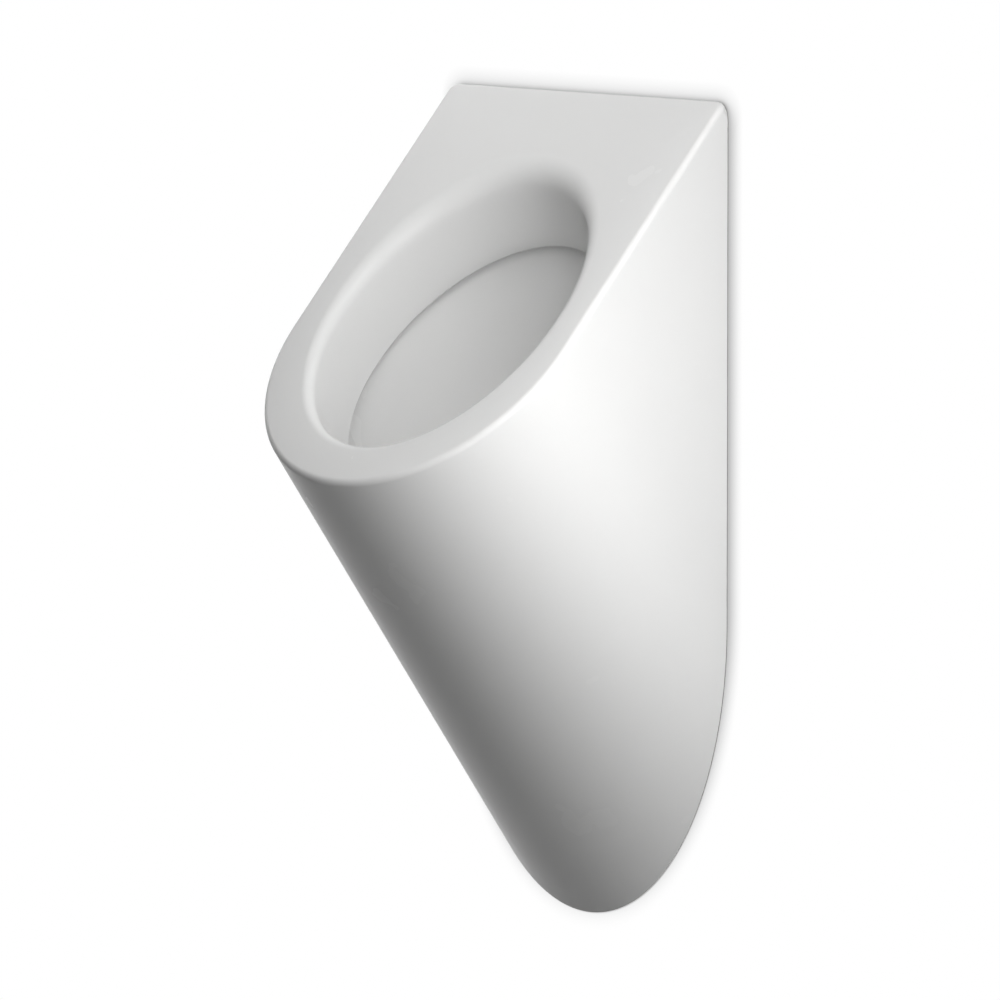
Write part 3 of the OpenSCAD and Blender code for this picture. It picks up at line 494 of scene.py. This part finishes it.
def ceramicLoops():
    # from the drain up the bowl, over lip, throat and rim, down the outside and back up inside the shell
    rows = smoothRows(bowlShares, body.rowSteps)
    lips = smoothRows(lipShares, body.rowSteps)
    quarter = [math.radians(90 * i / body.edgeSteps) for i in range(body.edgeSteps + 1)]
    roundShares = [(1 - math.sin(t), 1 - math.cos(t)) for t in quarter]
    loops = [bowlLoop(row, 0) for row in reversed(rows[1:])]
    loops += [lipLoop(body.undercut * s[0], body.undercut * s[1]) for s in lips]
    loops += reversed(throatRows())
    loops += [rimLoop(body.rimEdgeR * s[0], body.rimEdgeR * s[1]) for s in roundShares]
    loops += [wallLoop(0, body.wallEdgeR, 0), wallLoop(body.wallEdgeR, 0, 0), wallLoop(body.flangeW, 0, body.rimT)]
    loops += [
        wallLoop(body.flangeW, body.flangeT, body.rimT),
        wallLoop(body.shellT, body.flangeT + body.flangeW - body.shellT, body.rimT),
        rimLoop(body.shellT, body.rimT),
        edgeLoop((edgeGain - body.bowlT) / 2, body.rimT / squareShare),
        throatBack(body.hollowShare),
        throatBack(1),
    ]
    loops += [bowlLoop(row, body.bowlT) for row in rows]
    return loops


def skinMesh(name, loops, first, last):
    # a closed skin over a chain of loops, with a flat fan at each end
    count, rows = len(loops[0]), len(loops)
    points = np.vstack(([first], *loops, [last]))
    a = 1 + np.arange(count)
    b = 1 + (np.arange(count) + 1) % count
    faces = [(0, j, i) for i, j in zip(a, b)]
    for r in range(rows - 1):
        faces += [(i, j, j + count, i + count) for i, j in zip(a + r * count, b + r * count)]
    top = (rows - 1) * count
    faces += [(len(points) - 1, i, j) for i, j in zip(a + top, b + top)]
    mesh = bpy.data.meshes.new(name)
    mesh.from_pydata(points.tolist(), [], [tuple(int(k) for k in f) for f in faces])
    shape = bmesh.new()
    shape.from_mesh(mesh)
    bmesh.ops.recalc_face_normals(shape, faces=shape.faces)
    shape.to_mesh(mesh)
    shape.free()
    return mesh


def blockShape(x0, x1, y0, y1, z0, z1):
    shape = bmesh.new()
    bmesh.ops.create_cube(shape, size=1)
    size = Matrix.Diagonal((x1 - x0, y1 - y0, z1 - z0, 1))
    shape.transform(Matrix.Translation(((x0 + x1) / 2, (y0 + y1) / 2, (z0 + z1) / 2)) @ size)
    return shape


def postShape(x, y, z0, z1, r, segments):
    shape = bmesh.new()
    bmesh.ops.create_cone(shape, cap_ends=True, segments=segments, radius1=r, radius2=r, depth=z1 - z0)
    shape.transform(Matrix.Translation((x, y, (z0 + z1) / 2)))
    return shape


def rodShape(z, front, back, r):
    # along Y at x 0, from the larger distance to the wall back to the smaller one
    shape = bmesh.new()
    bmesh.ops.create_cone(
        shape, cap_ends=True, segments=body.holeSteps, radius1=r, radius2=r, depth=front - back
    )
    shape.transform(Matrix.Translation((0, -(front + back) / 2, z)) @ Matrix.Rotation(math.radians(90), 4, "X"))
    return shape


def carve(thing, operation, shapes):
    for shape in shapes:
        tool = newObject("tool", meshFromShape("tool", shape), thing.data.materials[0])
        cut = thing.modifiers.new("cut", "BOOLEAN")
        cut.operation = operation
        cut.solver = "MANIFOLD"
        cut.object = tool
        result = evaluatedMesh(thing)
        thing.modifiers.remove(cut)
        old = thing.data
        thing.data = result
        bpy.data.meshes.remove(old)
        bpy.data.objects.remove(tool)


def buildCeramic():
    loops = ceramicLoops()
    mesh = skinMesh("ceramicBody", loops, (0, -wasteY, floorH), (0, -wasteY, floorUnderH))
    thing = newObject("ceramicBody", mesh, materials["glaze"])
    panelW = halfW - body.shellT
    panelLow = hangerH + bracketLow.z - body.windowGap - body.panelSill
    panelTop = (sectionH - body.flangeW / 2) / cosAxis
    inletH = heightOf(sum(corner.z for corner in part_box("inlet_seal")) / 2)
    flushY = body.lipWall - body.flushLand
    webH = heightOf(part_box("hanger_saddles")[1].z) - body.tongueH + body.saddleT
    over = body.cutOver
    bossRod = rodShape(inletH, flushY + body.bossEndT, body.recess, body.bossR)
    boss = newObject("boss", meshFromShape("boss", bossRod), materials["glaze"])
    clear = 2 * body.bossR
    carve(boss, "DIFFERENCE", [blockShape(-clear, clear, -clear, over, 0, lipBackH + body.bossFoot)])
    bossShape = bmesh.new()
    bossShape.from_mesh(boss.data)
    bpy.data.objects.remove(boss)
    carve(thing, "UNION", [blockShape(-panelW, panelW, -body.panelT, -body.recess, panelLow, panelTop), bossShape])
    windows = []
    for side in (-1, 1):
        ends = sorted((side * (bracketLow.x - body.windowGap), side * (bracketHigh.x + body.windowGap)))
        windowLow = hangerH + bracketLow.z - body.windowGap
        windows.append(blockShape(*ends, -body.panelT - over, over, windowLow, webH))
    # the flush slot is a block with a half round at each end
    slotEnd, slotR = body.flushW / 2, body.flushT / 2
    slotLow, slotTop = lipBackH - body.flushOver, lipBackH + body.flushH
    carve(thing, "DIFFERENCE", windows + [
        postShape(0, -wasteY, seatH, floorH + over, seatR, body.holeSteps),
        postShape(0, -wasteY, floorUnderH - over, floorH, body.drainHoleR, body.holeSteps),
        rodShape(inletH, body.recess + body.pocketD, -over, body.pocketR),
        rodShape(inletH, flushY, body.recess, body.inletBoreR),
        blockShape(-slotEnd, slotEnd, -flushY, body.flushT - flushY, slotLow, slotTop),
        postShape(-slotEnd, slotR - flushY, slotLow, slotTop, slotR, body.slotSteps),
        postShape(slotEnd, slotR - flushY, slotLow, slotTop, slotR, body.slotSteps),
    ])
    thing.data.transform(Matrix.Scale(mm, 4) @ Matrix.Translation((0, 0, -hangerH)))
    shadeByAngle(thing.data, body.shadeAngle)
    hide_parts("ceramic_body")
    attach(thing, "fixed_body")
    return thing


ceramicBody = buildCeramic()
print("ceramic body:", len(ceramicBody.data.polygons), "faces")


# Geometry Nodes: a winding ridge for threads, and one fastener set on many points
def pieceTree(name, inputs):
    return newGroup(name, "GeometryNodeTree", inputs, [("Geometry", "NodeSocketGeometry")])


def finishTree(tree, given, made, geometry):
    # every tree ends in Realize Instances and Set Material
    real = addNode(tree, "GeometryNodeRealizeInstances", inputs={"Geometry": geometry})
    painted = addNode(
        tree, "GeometryNodeSetMaterial", inputs={"Geometry": real.outputs[0], "Material": given.outputs["Material"]}
    )
    tree.links.new(painted.outputs[0], made.inputs["Geometry"])


# Steps in a turn, sides of the ridge, and the share of the length over which it rises from almost nothing
threadSet = {"steps": 36, "sides": 4, "fadeShare": 0.06, "fadeFrom": 0.05, "mergeWithin": 1e-5}


def buildThreadTree():
    tree, given, made = pieceTree("windingThread", [
        ("Root Radius", "NodeSocketFloat", 0.01), ("Depth", "NodeSocketFloat", 0.0007),
        ("Turns", "NodeSocketFloat", 8.0), ("Length", "NodeSocketFloat", 0.02),
        ("Steps", "NodeSocketInt", threadSet["steps"]), ("Material", "NodeSocketMaterial", None),
    ])
    coil = addNode(tree, "GeometryNodeCurveSpiral", inputs={
        "Resolution": given.outputs["Steps"], "Rotations": given.outputs["Turns"],
        "Start Radius": given.outputs["Root Radius"], "End Radius": given.outputs["Root Radius"],
        "Height": given.outputs["Length"],
    })
    upright = addNode(tree, "GeometryNodeSetCurveNormal", {"mode": "Z_UP"}, {"Curve": coil.outputs[0]})
    along = addNode(tree, "GeometryNodeSplineParameter").outputs["Factor"]
    rise = addNode(tree, "ShaderNodeMapRange", inputs={
        "Value": along, "From Max": threadSet["fadeShare"], "To Min": threadSet["fadeFrom"],
    })
    fall = addNode(tree, "ShaderNodeMapRange", inputs={
        "Value": along, "From Min": 1 - threadSet["fadeShare"], "To Min": 1.0, "To Max": threadSet["fadeFrom"],
    })
    height = calc(tree, "MINIMUM", rise.outputs["Result"], fall.outputs["Result"])
    ridge = addNode(tree, "GeometryNodeCurvePrimitiveCircle", inputs={
        "Resolution": threadSet["sides"], "Radius": given.outputs["Depth"],
    })
    wound = addNode(tree, "GeometryNodeCurveToMesh", inputs={
        "Curve": upright.outputs[0], "Profile Curve": ridge.outputs[0], "Scale": height, "Fill Caps": True,
    })
    finishTree(tree, given, made, wound.outputs[0])
    return tree


def buildFastenerTree():
    tree, given, made = pieceTree("fastenersOnPoints", [
        ("Points", "NodeSocketGeometry", None), ("Fastener", "NodeSocketObject", None),
        ("Turn Between", "NodeSocketFloat", 0.7), ("Seed", "NodeSocketInt", 4),
        ("Material", "NodeSocketMaterial", None),
    ])
    one = addNode(tree, "GeometryNodeObjectInfo", inputs={"Object": given.outputs["Fastener"]})
    turn = addNode(tree, "FunctionNodeRandomValue", {"data_type": "FLOAT"}, {"Seed": given.outputs["Seed"]})
    tree.links.new(given.outputs["Turn Between"], turn.inputs[3])
    spin = addNode(tree, "ShaderNodeCombineXYZ", inputs={"Y": turn.outputs[1]})
    placed = addNode(tree, "GeometryNodeInstanceOnPoints", inputs={
        "Points": given.outputs["Points"], "Instance": one.outputs["Geometry"], "Rotation": spin.outputs[0],
    })
    finishTree(tree, given, made, placed.outputs[0])
    return tree


def runTree(name, tree, mesh, values):
    # the inputs are set by their sockets' identifiers before the object is first evaluated
    holder = bpy.data.objects.new(name, mesh)
    bpy.context.scene.collection.objects.link(holder)
    made = holder.modifiers.new(name, "NODES")
    made.node_group = tree
    sockets = {item.name: item.identifier for item in tree.interface.items_tree if item.in_out == "INPUT"}
    for label, value in values.items():
        made[sockets[label]] = value
    result = evaluatedMesh(holder)
    bpy.data.objects.remove(holder)
    return result


threadTree = buildThreadTree()
fastenerTree = buildFastenerTree()


def windThread(size, material):
    # along Z from 0, in millimetres; the ridge fades out at both ends
    mesh = runTree("thread", threadTree, bpy.data.meshes.new("thread"), {
        "Root Radius": size["outer"] - size["depth"], "Depth": size["depth"],
        "Turns": size["length"] / size["pitch"], "Length": size["length"],
        "Steps": threadSet["steps"], "Material": material,
    })
    shape = bmesh.new()
    shape.from_mesh(mesh)
    bmesh.ops.remove_doubles(shape, verts=shape.verts, dist=threadSet["mergeWithin"])
    bmesh.ops.recalc_face_normals(shape, faces=shape.faces)
    bpy.data.meshes.remove(mesh)
    return shape


def lathe(rows, segments=64):
    # a closed turned form from (radius, height) rows, the first and last on the axis
    shape = bmesh.new()
    turns = np.linspace(0, 2 * math.pi, segments, endpoint=False)
    rings = []
    for r, h in rows:
        if r == 0:
            rings.append([shape.verts.new((0, 0, h))] * segments)
        else:
            rings.append([shape.verts.new((r * math.cos(t), r * math.sin(t), h)) for t in turns])
    for low, high in zip(rings, rings[1:]):
        for i in range(segments):
            j = (i + 1) % segments
            corners = list(dict.fromkeys((low[i], low[j], high[j], high[i])))
            if len(corners) > 2:
                shape.faces.new(corners)
    bmesh.ops.recalc_face_normals(shape, faces=shape.faces)
    return shape


# Wall screws: a domed head with a cross recess, a neck and a wood thread down to the tip. Millimetres
screwSize = {
    "headR": 5.6, "headH": 4.0, "rimH": 1.0, "headEdge": 0.15, "domeSteps": 8,
    "recess": 1.6, "slot": 1.2, "slotReach": 0.62,
    "neckR": 2.5, "neckFillet": 0.5, "neckEnd": 1.5, "rootStart": 0.5,
    "threadR": 3.0, "threadDepth": 0.75, "pitch": 2.4, "tip": 6.0, "tipR": 0.35, "tipFlat": 0.5,
    "turnBetween": 1.2, "seed": 4, "shadeAngle": 32,
}


def buildWallScrews():
    low, high = (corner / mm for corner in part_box("wall_screws"))
    screw = SimpleNamespace(**screwSize)
    headR, neckR, fillet = screw.headR, screw.neckR, screw.neckFillet
    top, end = -low.y, high.y
    seat = top - screw.headH
    rootR = screw.threadR - screw.threadDepth
    domeTurns = np.radians(np.linspace(0, 90, screw.domeSteps + 1))[1:]
    domeH = screw.headH - screw.rimH
    rows = [(0, top)]
    rows += [(headR * math.sin(t), seat + screw.rimH + domeH * math.cos(t)) for t in domeTurns]
    rows += [
        (headR - screw.headEdge, seat + screw.headEdge), (headR - 2 * screw.headEdge, seat),
        (neckR + fillet, seat), (neckR, seat - fillet), (neckR, screw.neckEnd),
        (rootR, screw.rootStart), (rootR, screw.tip - end), (screw.tipR, screw.tipFlat - end), (0, -end),
    ]
    head = newObject("wallScrew", meshFromShape("wallScrew", lathe(rows)), materials["zincPlate"])
    reach, half = headR * screw.slotReach, screw.slot / 2
    carve(head, "DIFFERENCE", [
        blockShape(-half, half, -reach, reach, top - screw.recess, top + body.cutOver),
        blockShape(-reach, reach, -half, half, top - screw.recess, top + body.cutOver),
    ])
    shape = windThread({
        "outer": screw.threadR, "depth": screw.threadDepth, "pitch": screw.pitch,
        "length": end - screw.tip - screw.rootStart,
    }, materials["zincPlate"])
    shape.transform(Matrix.Translation((0, 0, screw.tip - end)))
    shape.from_mesh(head.data)
    shape.transform(Matrix.Rotation(math.radians(90), 4, "X"))
    shape.to_mesh(head.data)
    shape.free()
    across, up = high.x - headR, (high.z - low.z) / 2 - headR
    middle = (high.z + low.z) / 2
    points = bpy.data.meshes.new("screwPoints")
    points.from_pydata([(x, 0, middle + z) for x in (-across, across) for z in (-up, up)], [], [])
    mesh = runTree("screws", fastenerTree, points, {
        "Fastener": head, "Turn Between": screw.turnBetween, "Seed": screw.seed, "Material": materials["zincPlate"],
    })
    bpy.data.objects.remove(head)
    mesh.transform(Matrix.Scale(mm, 4))
    thing = newObject("wallScrews", mesh, materials["zincPlate"])
    shadeByAngle(thing.data, screw.shadeAngle)
    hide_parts("wall_screws")
    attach(thing, "fixed_body")
    return thing


screws = buildWallScrews()
print("wall screws:", len(screws.data.polygons), "faces")

# The fittings: the frame's own solids with softened edges. Finish, slot, and width of the edge in millimetres
fittings = {
    "hanger_bracket_left": ("zincPlate", "zinc_steel", 0.4),
    "hanger_bracket_right": ("zincPlate", "zinc_steel", 0.4),
    "hanger_saddles": ("greyPlastic", "grey_plastic", 0.4),
    "screw_washers": ("zincPlate", "zinc_steel", 0.2),
    "spreader": ("whitePlastic", "white_plastic", 0.6),
    "spreader_gasket": ("blackRubber", "black_rubber", 0.2),
    "spreader_nut": ("brass", "brass", 0.4),
    "inlet_oring": ("blackRubber", "black_rubber", 0),
    "inlet_seal": ("blackRubber", "black_rubber", 0.2),
    "inlet_nipple": ("brass", "brass", 0.3),
    "waste_body": ("chrome", "chrome", 0.3),
    "waste_top_gasket": ("blackRubber", "black_rubber", 0.3),
    "waste_under_gasket": ("blackRubber", "black_rubber", 0.3),
    "waste_slip_washer": ("whitePlastic", "white_plastic", 0.2),
    "waste_backnut": ("brass", "brass", 0.5),
    "strainer": ("chrome", "chrome", 0.15),
    "dip_tube": ("greyPlastic", "grey_plastic", 0.3),
    "dip_tube_orings": ("blackRubber", "black_rubber", 0),
    "trap_union_nut": ("whitePlastic", "white_plastic", 0.5),
    "trap_union_washer": ("blackRubber", "black_rubber", 0.2),
    "trap_head": ("whitePlastic", "white_plastic", 0.5),
    "trap_cup": ("whitePlastic", "white_plastic", 0.5),
    "trap_cup_seal": ("blackRubber", "black_rubber", 0.2),
    "outlet_nut": ("whitePlastic", "white_plastic", 0.5),
    "outlet_seal": ("blackRubber", "black_rubber", 0.2),
    "outlet_pipe": ("pipePlastic", "pipe_plastic", 0.3),
}


def camelName(node):
    first, *rest = node.split("_")
    return first + "".join(word.capitalize() for word in rest)


# Threads on the fittings, in millimetres. One along Y starts at the wall, and one along Z at the piece's lower end
threadedEnds = {
    "inlet_nipple": {"axis": "Y", "outer": 10.45, "depth": 0.85, "pitch": 1.81, "start": 1.2, "length": 16.0},
    "waste_body": {"axis": "Z", "outer": 20.95, "depth": 1.1, "pitch": 2.31, "start": 1.2, "length": 45.0},
}


# How near a point of the solid is to the thread's outside to be part of it, and how the edges are made
fittingSet = {
    "nearOuter": 0.06, "behindStart": 0.1, "mergeWithin": 1e-6, "flatWithin": 0.5, "edgeSteps": 2, "edgeOver": 35,
    "shadeAngle": 30,
}


def threadFrame(node, size):
    # a matrix that takes the Z axis, in millimetres, to the threaded end's axis, in metres
    low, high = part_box(node)
    middle = (low + high) / 2
    if size["axis"] == "Y":
        start, turn = Vector((middle.x, 0, middle.z)), Matrix.Rotation(math.radians(-90), 4, "X")
    else:
        start, turn = Vector((middle.x, middle.y, low.z)), Matrix.Identity(4)
    return Matrix.Translation(start) @ turn @ Matrix.Scale(mm, 4)


def sinkToRoot(shape, place, size):
    # the plain cylinder at the thread's outside goes in to its root
    back = place.inverted()
    for vert in shape.verts:
        spot = back @ vert.co
        r = math.hypot(spot.x, spot.y)
        if abs(r - size["outer"]) < fittingSet["nearOuter"] and spot.z > -fittingSet["behindStart"]:
            share = (size["outer"] - size["depth"]) / r
            vert.co = place @ Vector((spot.x * share, spot.y * share, spot.z))


def softenedCopy(node, finish, edge):
    shape = bmesh.new()
    shape.from_mesh(frame["nodes"][node].data)
    bmesh.ops.remove_doubles(shape, verts=shape.verts, dist=fittingSet["mergeWithin"])
    thread = threadedEnds.get(node)
    if thread:
        place = threadFrame(node, thread)
        sinkToRoot(shape, place, thread)
    bmesh.ops.dissolve_limit(
        shape, angle_limit=math.radians(fittingSet["flatWithin"]), verts=shape.verts, edges=shape.edges
    )
    thing = newObject(camelName(node), meshFromShape(node, shape), materials[finish])
    if edge:
        soft = thing.modifiers.new("softEdge", "BEVEL")
        soft.width = edge * mm
        soft.segments = fittingSet["edgeSteps"]
        soft.limit_method = "ANGLE"
        soft.angle_limit = math.radians(fittingSet["edgeOver"])
        soft.use_clamp_overlap = True
        finished = evaluatedMesh(thing)
        thing.modifiers.remove(soft)
        thing.data = finished
    if thread:
        whole = windThread(thread, materials[finish])
        whole.transform(place @ Matrix.Translation((0, 0, thread["start"])))
        whole.from_mesh(thing.data)
        whole.to_mesh(thing.data)
        whole.free()
    shadeByAngle(thing.data, fittingSet["shadeAngle"])
    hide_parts(node)
    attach(thing, frame["nodes"][node]["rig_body"])
    return thing


for node, (finish, slotName, edge) in fittings.items():
    softenedCopy(node, finish, edge)
print("fittings dressed:", len(fittings))


# Floor and wall. The camera and mirrors see "floorSeen" and "wallSeen", and light that bounces meets the colours
stageSet = {
    "side": 12.0, "floorGap": 0.45, "wallGap": 0.0003, "roughness": 0.9,
    "floorColour": (0.22, 0.22, 0.22), "floorSeen": 0.72,
    # the wall's glow gets a contact shadow painted by ambient occlusion near the object: its reach in metres, and
    # its samples
    "wallColour": (0.0, 0.0, 0.0), "wallSeen": 1.0, "wallPaintedShade": 0.016, "paintedShadeSamples": 16,
}


def stageMaterial(name, colour, seen, cameraOnly, paintedShadeReach=0):
    # the reach is how far from the object, in metres, a soft contact shadow is painted into the glow: ambient
    # occlusion darkens it, and no lamp casts it
    material = bpy.data.materials.new(name)
    material.use_nodes = True
    tree = material.node_tree
    shader = tree.nodes["Principled BSDF"]
    if paintedShadeReach:
        # painted shadow: ambient occlusion darkens the glow that the camera sees near the object
        near = addNode(
            tree, "ShaderNodeAmbientOcclusion", {"samples": stageSet["paintedShadeSamples"]}, {"Distance": paintedShadeReach}
        )
        seen = calc(tree, "MULTIPLY", near.outputs["AO"], seen)
    shader.inputs["Base Color"].default_value = (*colour, 1)
    shader.inputs["Roughness"].default_value = stageSet["roughness"]
    shader.inputs["Specular IOR Level"].default_value = 0.0
    direct = seenDirectly(tree)
    glow = addNode(tree, "ShaderNodeEmission", inputs={
        "Color": (1, 1, 1, 1), "Strength": calc(tree, "MULTIPLY", direct, seen),
    })
    both = addNode(tree, "ShaderNodeAddShader", inputs={0: shader.outputs[0], 1: glow.outputs[0]})
    clear = addNode(tree, "ShaderNodeBsdfTransparent")
    hidden = addNode(tree, "ShaderNodeNewGeometry").outputs["Backfacing"]
    if cameraOnly:
        hidden = calc(tree, "MAXIMUM", hidden, calc(tree, "SUBTRACT", 1.0, direct))
    pick = addNode(tree, "ShaderNodeMixShader", inputs={0: hidden, 1: both.outputs[0], 2: clear.outputs[0]})
    tree.links.new(pick.outputs[0], tree.nodes["Material Output"].inputs["Surface"])
    return material


def stagePlane(name, corners, material):
    mesh = bpy.data.meshes.new(name)
    mesh.from_pydata(corners, [], [(0, 1, 2, 3)])
    plane = newObject(name, mesh, material)


def buildStage():
    stage = stageSet
    low = cadBox[0][2] - stage["floorGap"]
    far, half, wallY = stage["side"], stage["side"] / 2, stage["wallGap"]
    stagePlane(
        "floor", [(-half, -far, low), (half, -far, low), (half, far, low), (-half, far, low)],
        stageMaterial("floorPaint", stage["floorColour"], stage["floorSeen"], False),
    )
    stagePlane(
        "wall", [(-half, wallY, low), (half, wallY, low), (half, wallY, low + half), (-half, wallY, low + half)],
        stageMaterial("wallPaint", stage["wallColour"], stage["wallSeen"], True, stage["wallPaintedShade"]),
    )


buildStage()

# Light: a dim dome that fades below and is white to the camera, and soft lamps
worldSet = {"below": 0.01, "above": 0.05, "from": -0.6, "to": 0.6, "seen": 1.0}


def buildWorld():
    world = bpy.data.worlds.new("studio")
    world.use_nodes = True
    bpy.context.scene.world = world
    tree = world.node_tree
    tree.nodes.clear()
    out = tree.nodes.new("ShaderNodeOutputWorld")
    place = addNode(tree, "ShaderNodeTexCoord").outputs["Generated"]
    axes = addNode(tree, "ShaderNodeSeparateXYZ", inputs={"Vector": place})
    sky = addNode(
        tree, "ShaderNodeMapRange", {"interpolation_type": "SMOOTHSTEP"},
        {
            "Value": axes.outputs["Z"], "From Min": worldSet["from"], "From Max": worldSet["to"],
            "To Min": worldSet["below"], "To Max": worldSet["above"],
        },
    )
    dome, white = (
        addNode(tree, "ShaderNodeBackground", inputs={"Color": (1, 1, 1, 1), "Strength": strength})
        for strength in (sky.outputs["Result"], worldSet["seen"])
    )
    pick = addNode(tree, "ShaderNodeMixShader", inputs={
        0: seenDirectly(tree), 1: dome.outputs[0], 2: white.outputs[0],
    })
    tree.links.new(pick.outputs[0], out.inputs["Surface"])


# Azimuth and elevation in degrees as seen from the body's middle, distance and size in metres, power in watts.
# The lamps nearer than "mirroredFrom" are small, and would show as bright patches in the flat glaze
lampAim = Vector((0, -0.12, -0.26))
mirroredFrom = 1.0
lamps = {
    "frontLamp": {"azimuth": 40, "elevation": 27, "distance": 2.2, "size": 1.1, "power": 13.5},
    "highLamp": {"azimuth": 72, "elevation": 46, "distance": 2.2, "size": 1.2, "power": 13.0},
    "lowLamp": {"azimuth": 62, "elevation": 14, "distance": 0.8, "size": 0.3, "power": 1.7},
    "nearLamp": {"azimuth": 82, "elevation": 6, "distance": 0.8, "size": 0.36, "power": 2.0},
    "topLamp": {"azimuth": 0, "elevation": 77, "distance": 0.83, "size": 0.4, "power": 0.9},
    "cornerLamp": {"azimuth": -98, "elevation": 55, "distance": 0.8, "size": 0.4, "power": 0.95},
    "leftLamp": {"azimuth": -120, "elevation": 10, "distance": 2.2, "size": 1.4, "power": 14.0},
    "backLamp": {"azimuth": 190, "elevation": 20, "distance": 2.4, "size": 1.6, "power": 28.0},
}


def outwards(azimuth, elevation):
    turn, rise = math.radians(azimuth), math.radians(elevation)
    return Vector((math.sin(turn) * math.cos(rise), -math.cos(turn) * math.cos(rise), math.sin(rise)))


def buildLamps():
    for name, lamp in lamps.items():
        light = bpy.data.lights.new(name, "AREA")
        light.size = lamp["size"]
        light.energy = lamp["power"]
        thing = bpy.data.objects.new(name, light)
        thing.visible_glossy = lamp["distance"] > mirroredFrom
        bpy.context.scene.collection.objects.link(thing)
        back = outwards(lamp["azimuth"], lamp["elevation"])
        thing.location = lampAim + back * lamp["distance"]
        thing.rotation_euler = (-back).to_track_quat("-Z", "Y").to_euler()


buildWorld()
buildLamps()
print("stage and light ready")

# Camera at the photograph's angle
cameraSet = {
    "azimuth": 44.0, "elevation": 6.0, "distance": 10.0, "lens": 441.3, "sensor": 36, "seesTo": 100,
    "aim": (0.0, -0.120, 0.330 - hangerH * mm), "right": 0.0095, "up": 0.022,
}


def buildCamera():
    back = outwards(cameraSet["azimuth"], cameraSet["elevation"])
    turn = math.radians(cameraSet["azimuth"])
    right = Vector((math.cos(turn), math.sin(turn), 0))
    up = back.cross(right)
    camera = bpy.data.objects.new("camera", bpy.data.cameras.new("camera"))
    bpy.context.scene.collection.objects.link(camera)
    camera.data.lens = cameraSet["lens"]
    camera.data.sensor_width = cameraSet["sensor"]
    camera.data.clip_end = cameraSet["seesTo"]
    aim = Vector(cameraSet["aim"]) + right * cameraSet["right"] + up * cameraSet["up"]
    camera.location = aim + back * cameraSet["distance"]
    camera.rotation_mode = "QUATERNION"
    camera.rotation_quaternion = (-back).to_track_quat("-Z", "Y")
    bpy.context.scene.camera = camera


buildCamera()
bpy.context.scene.view_settings.view_transform = "Standard"
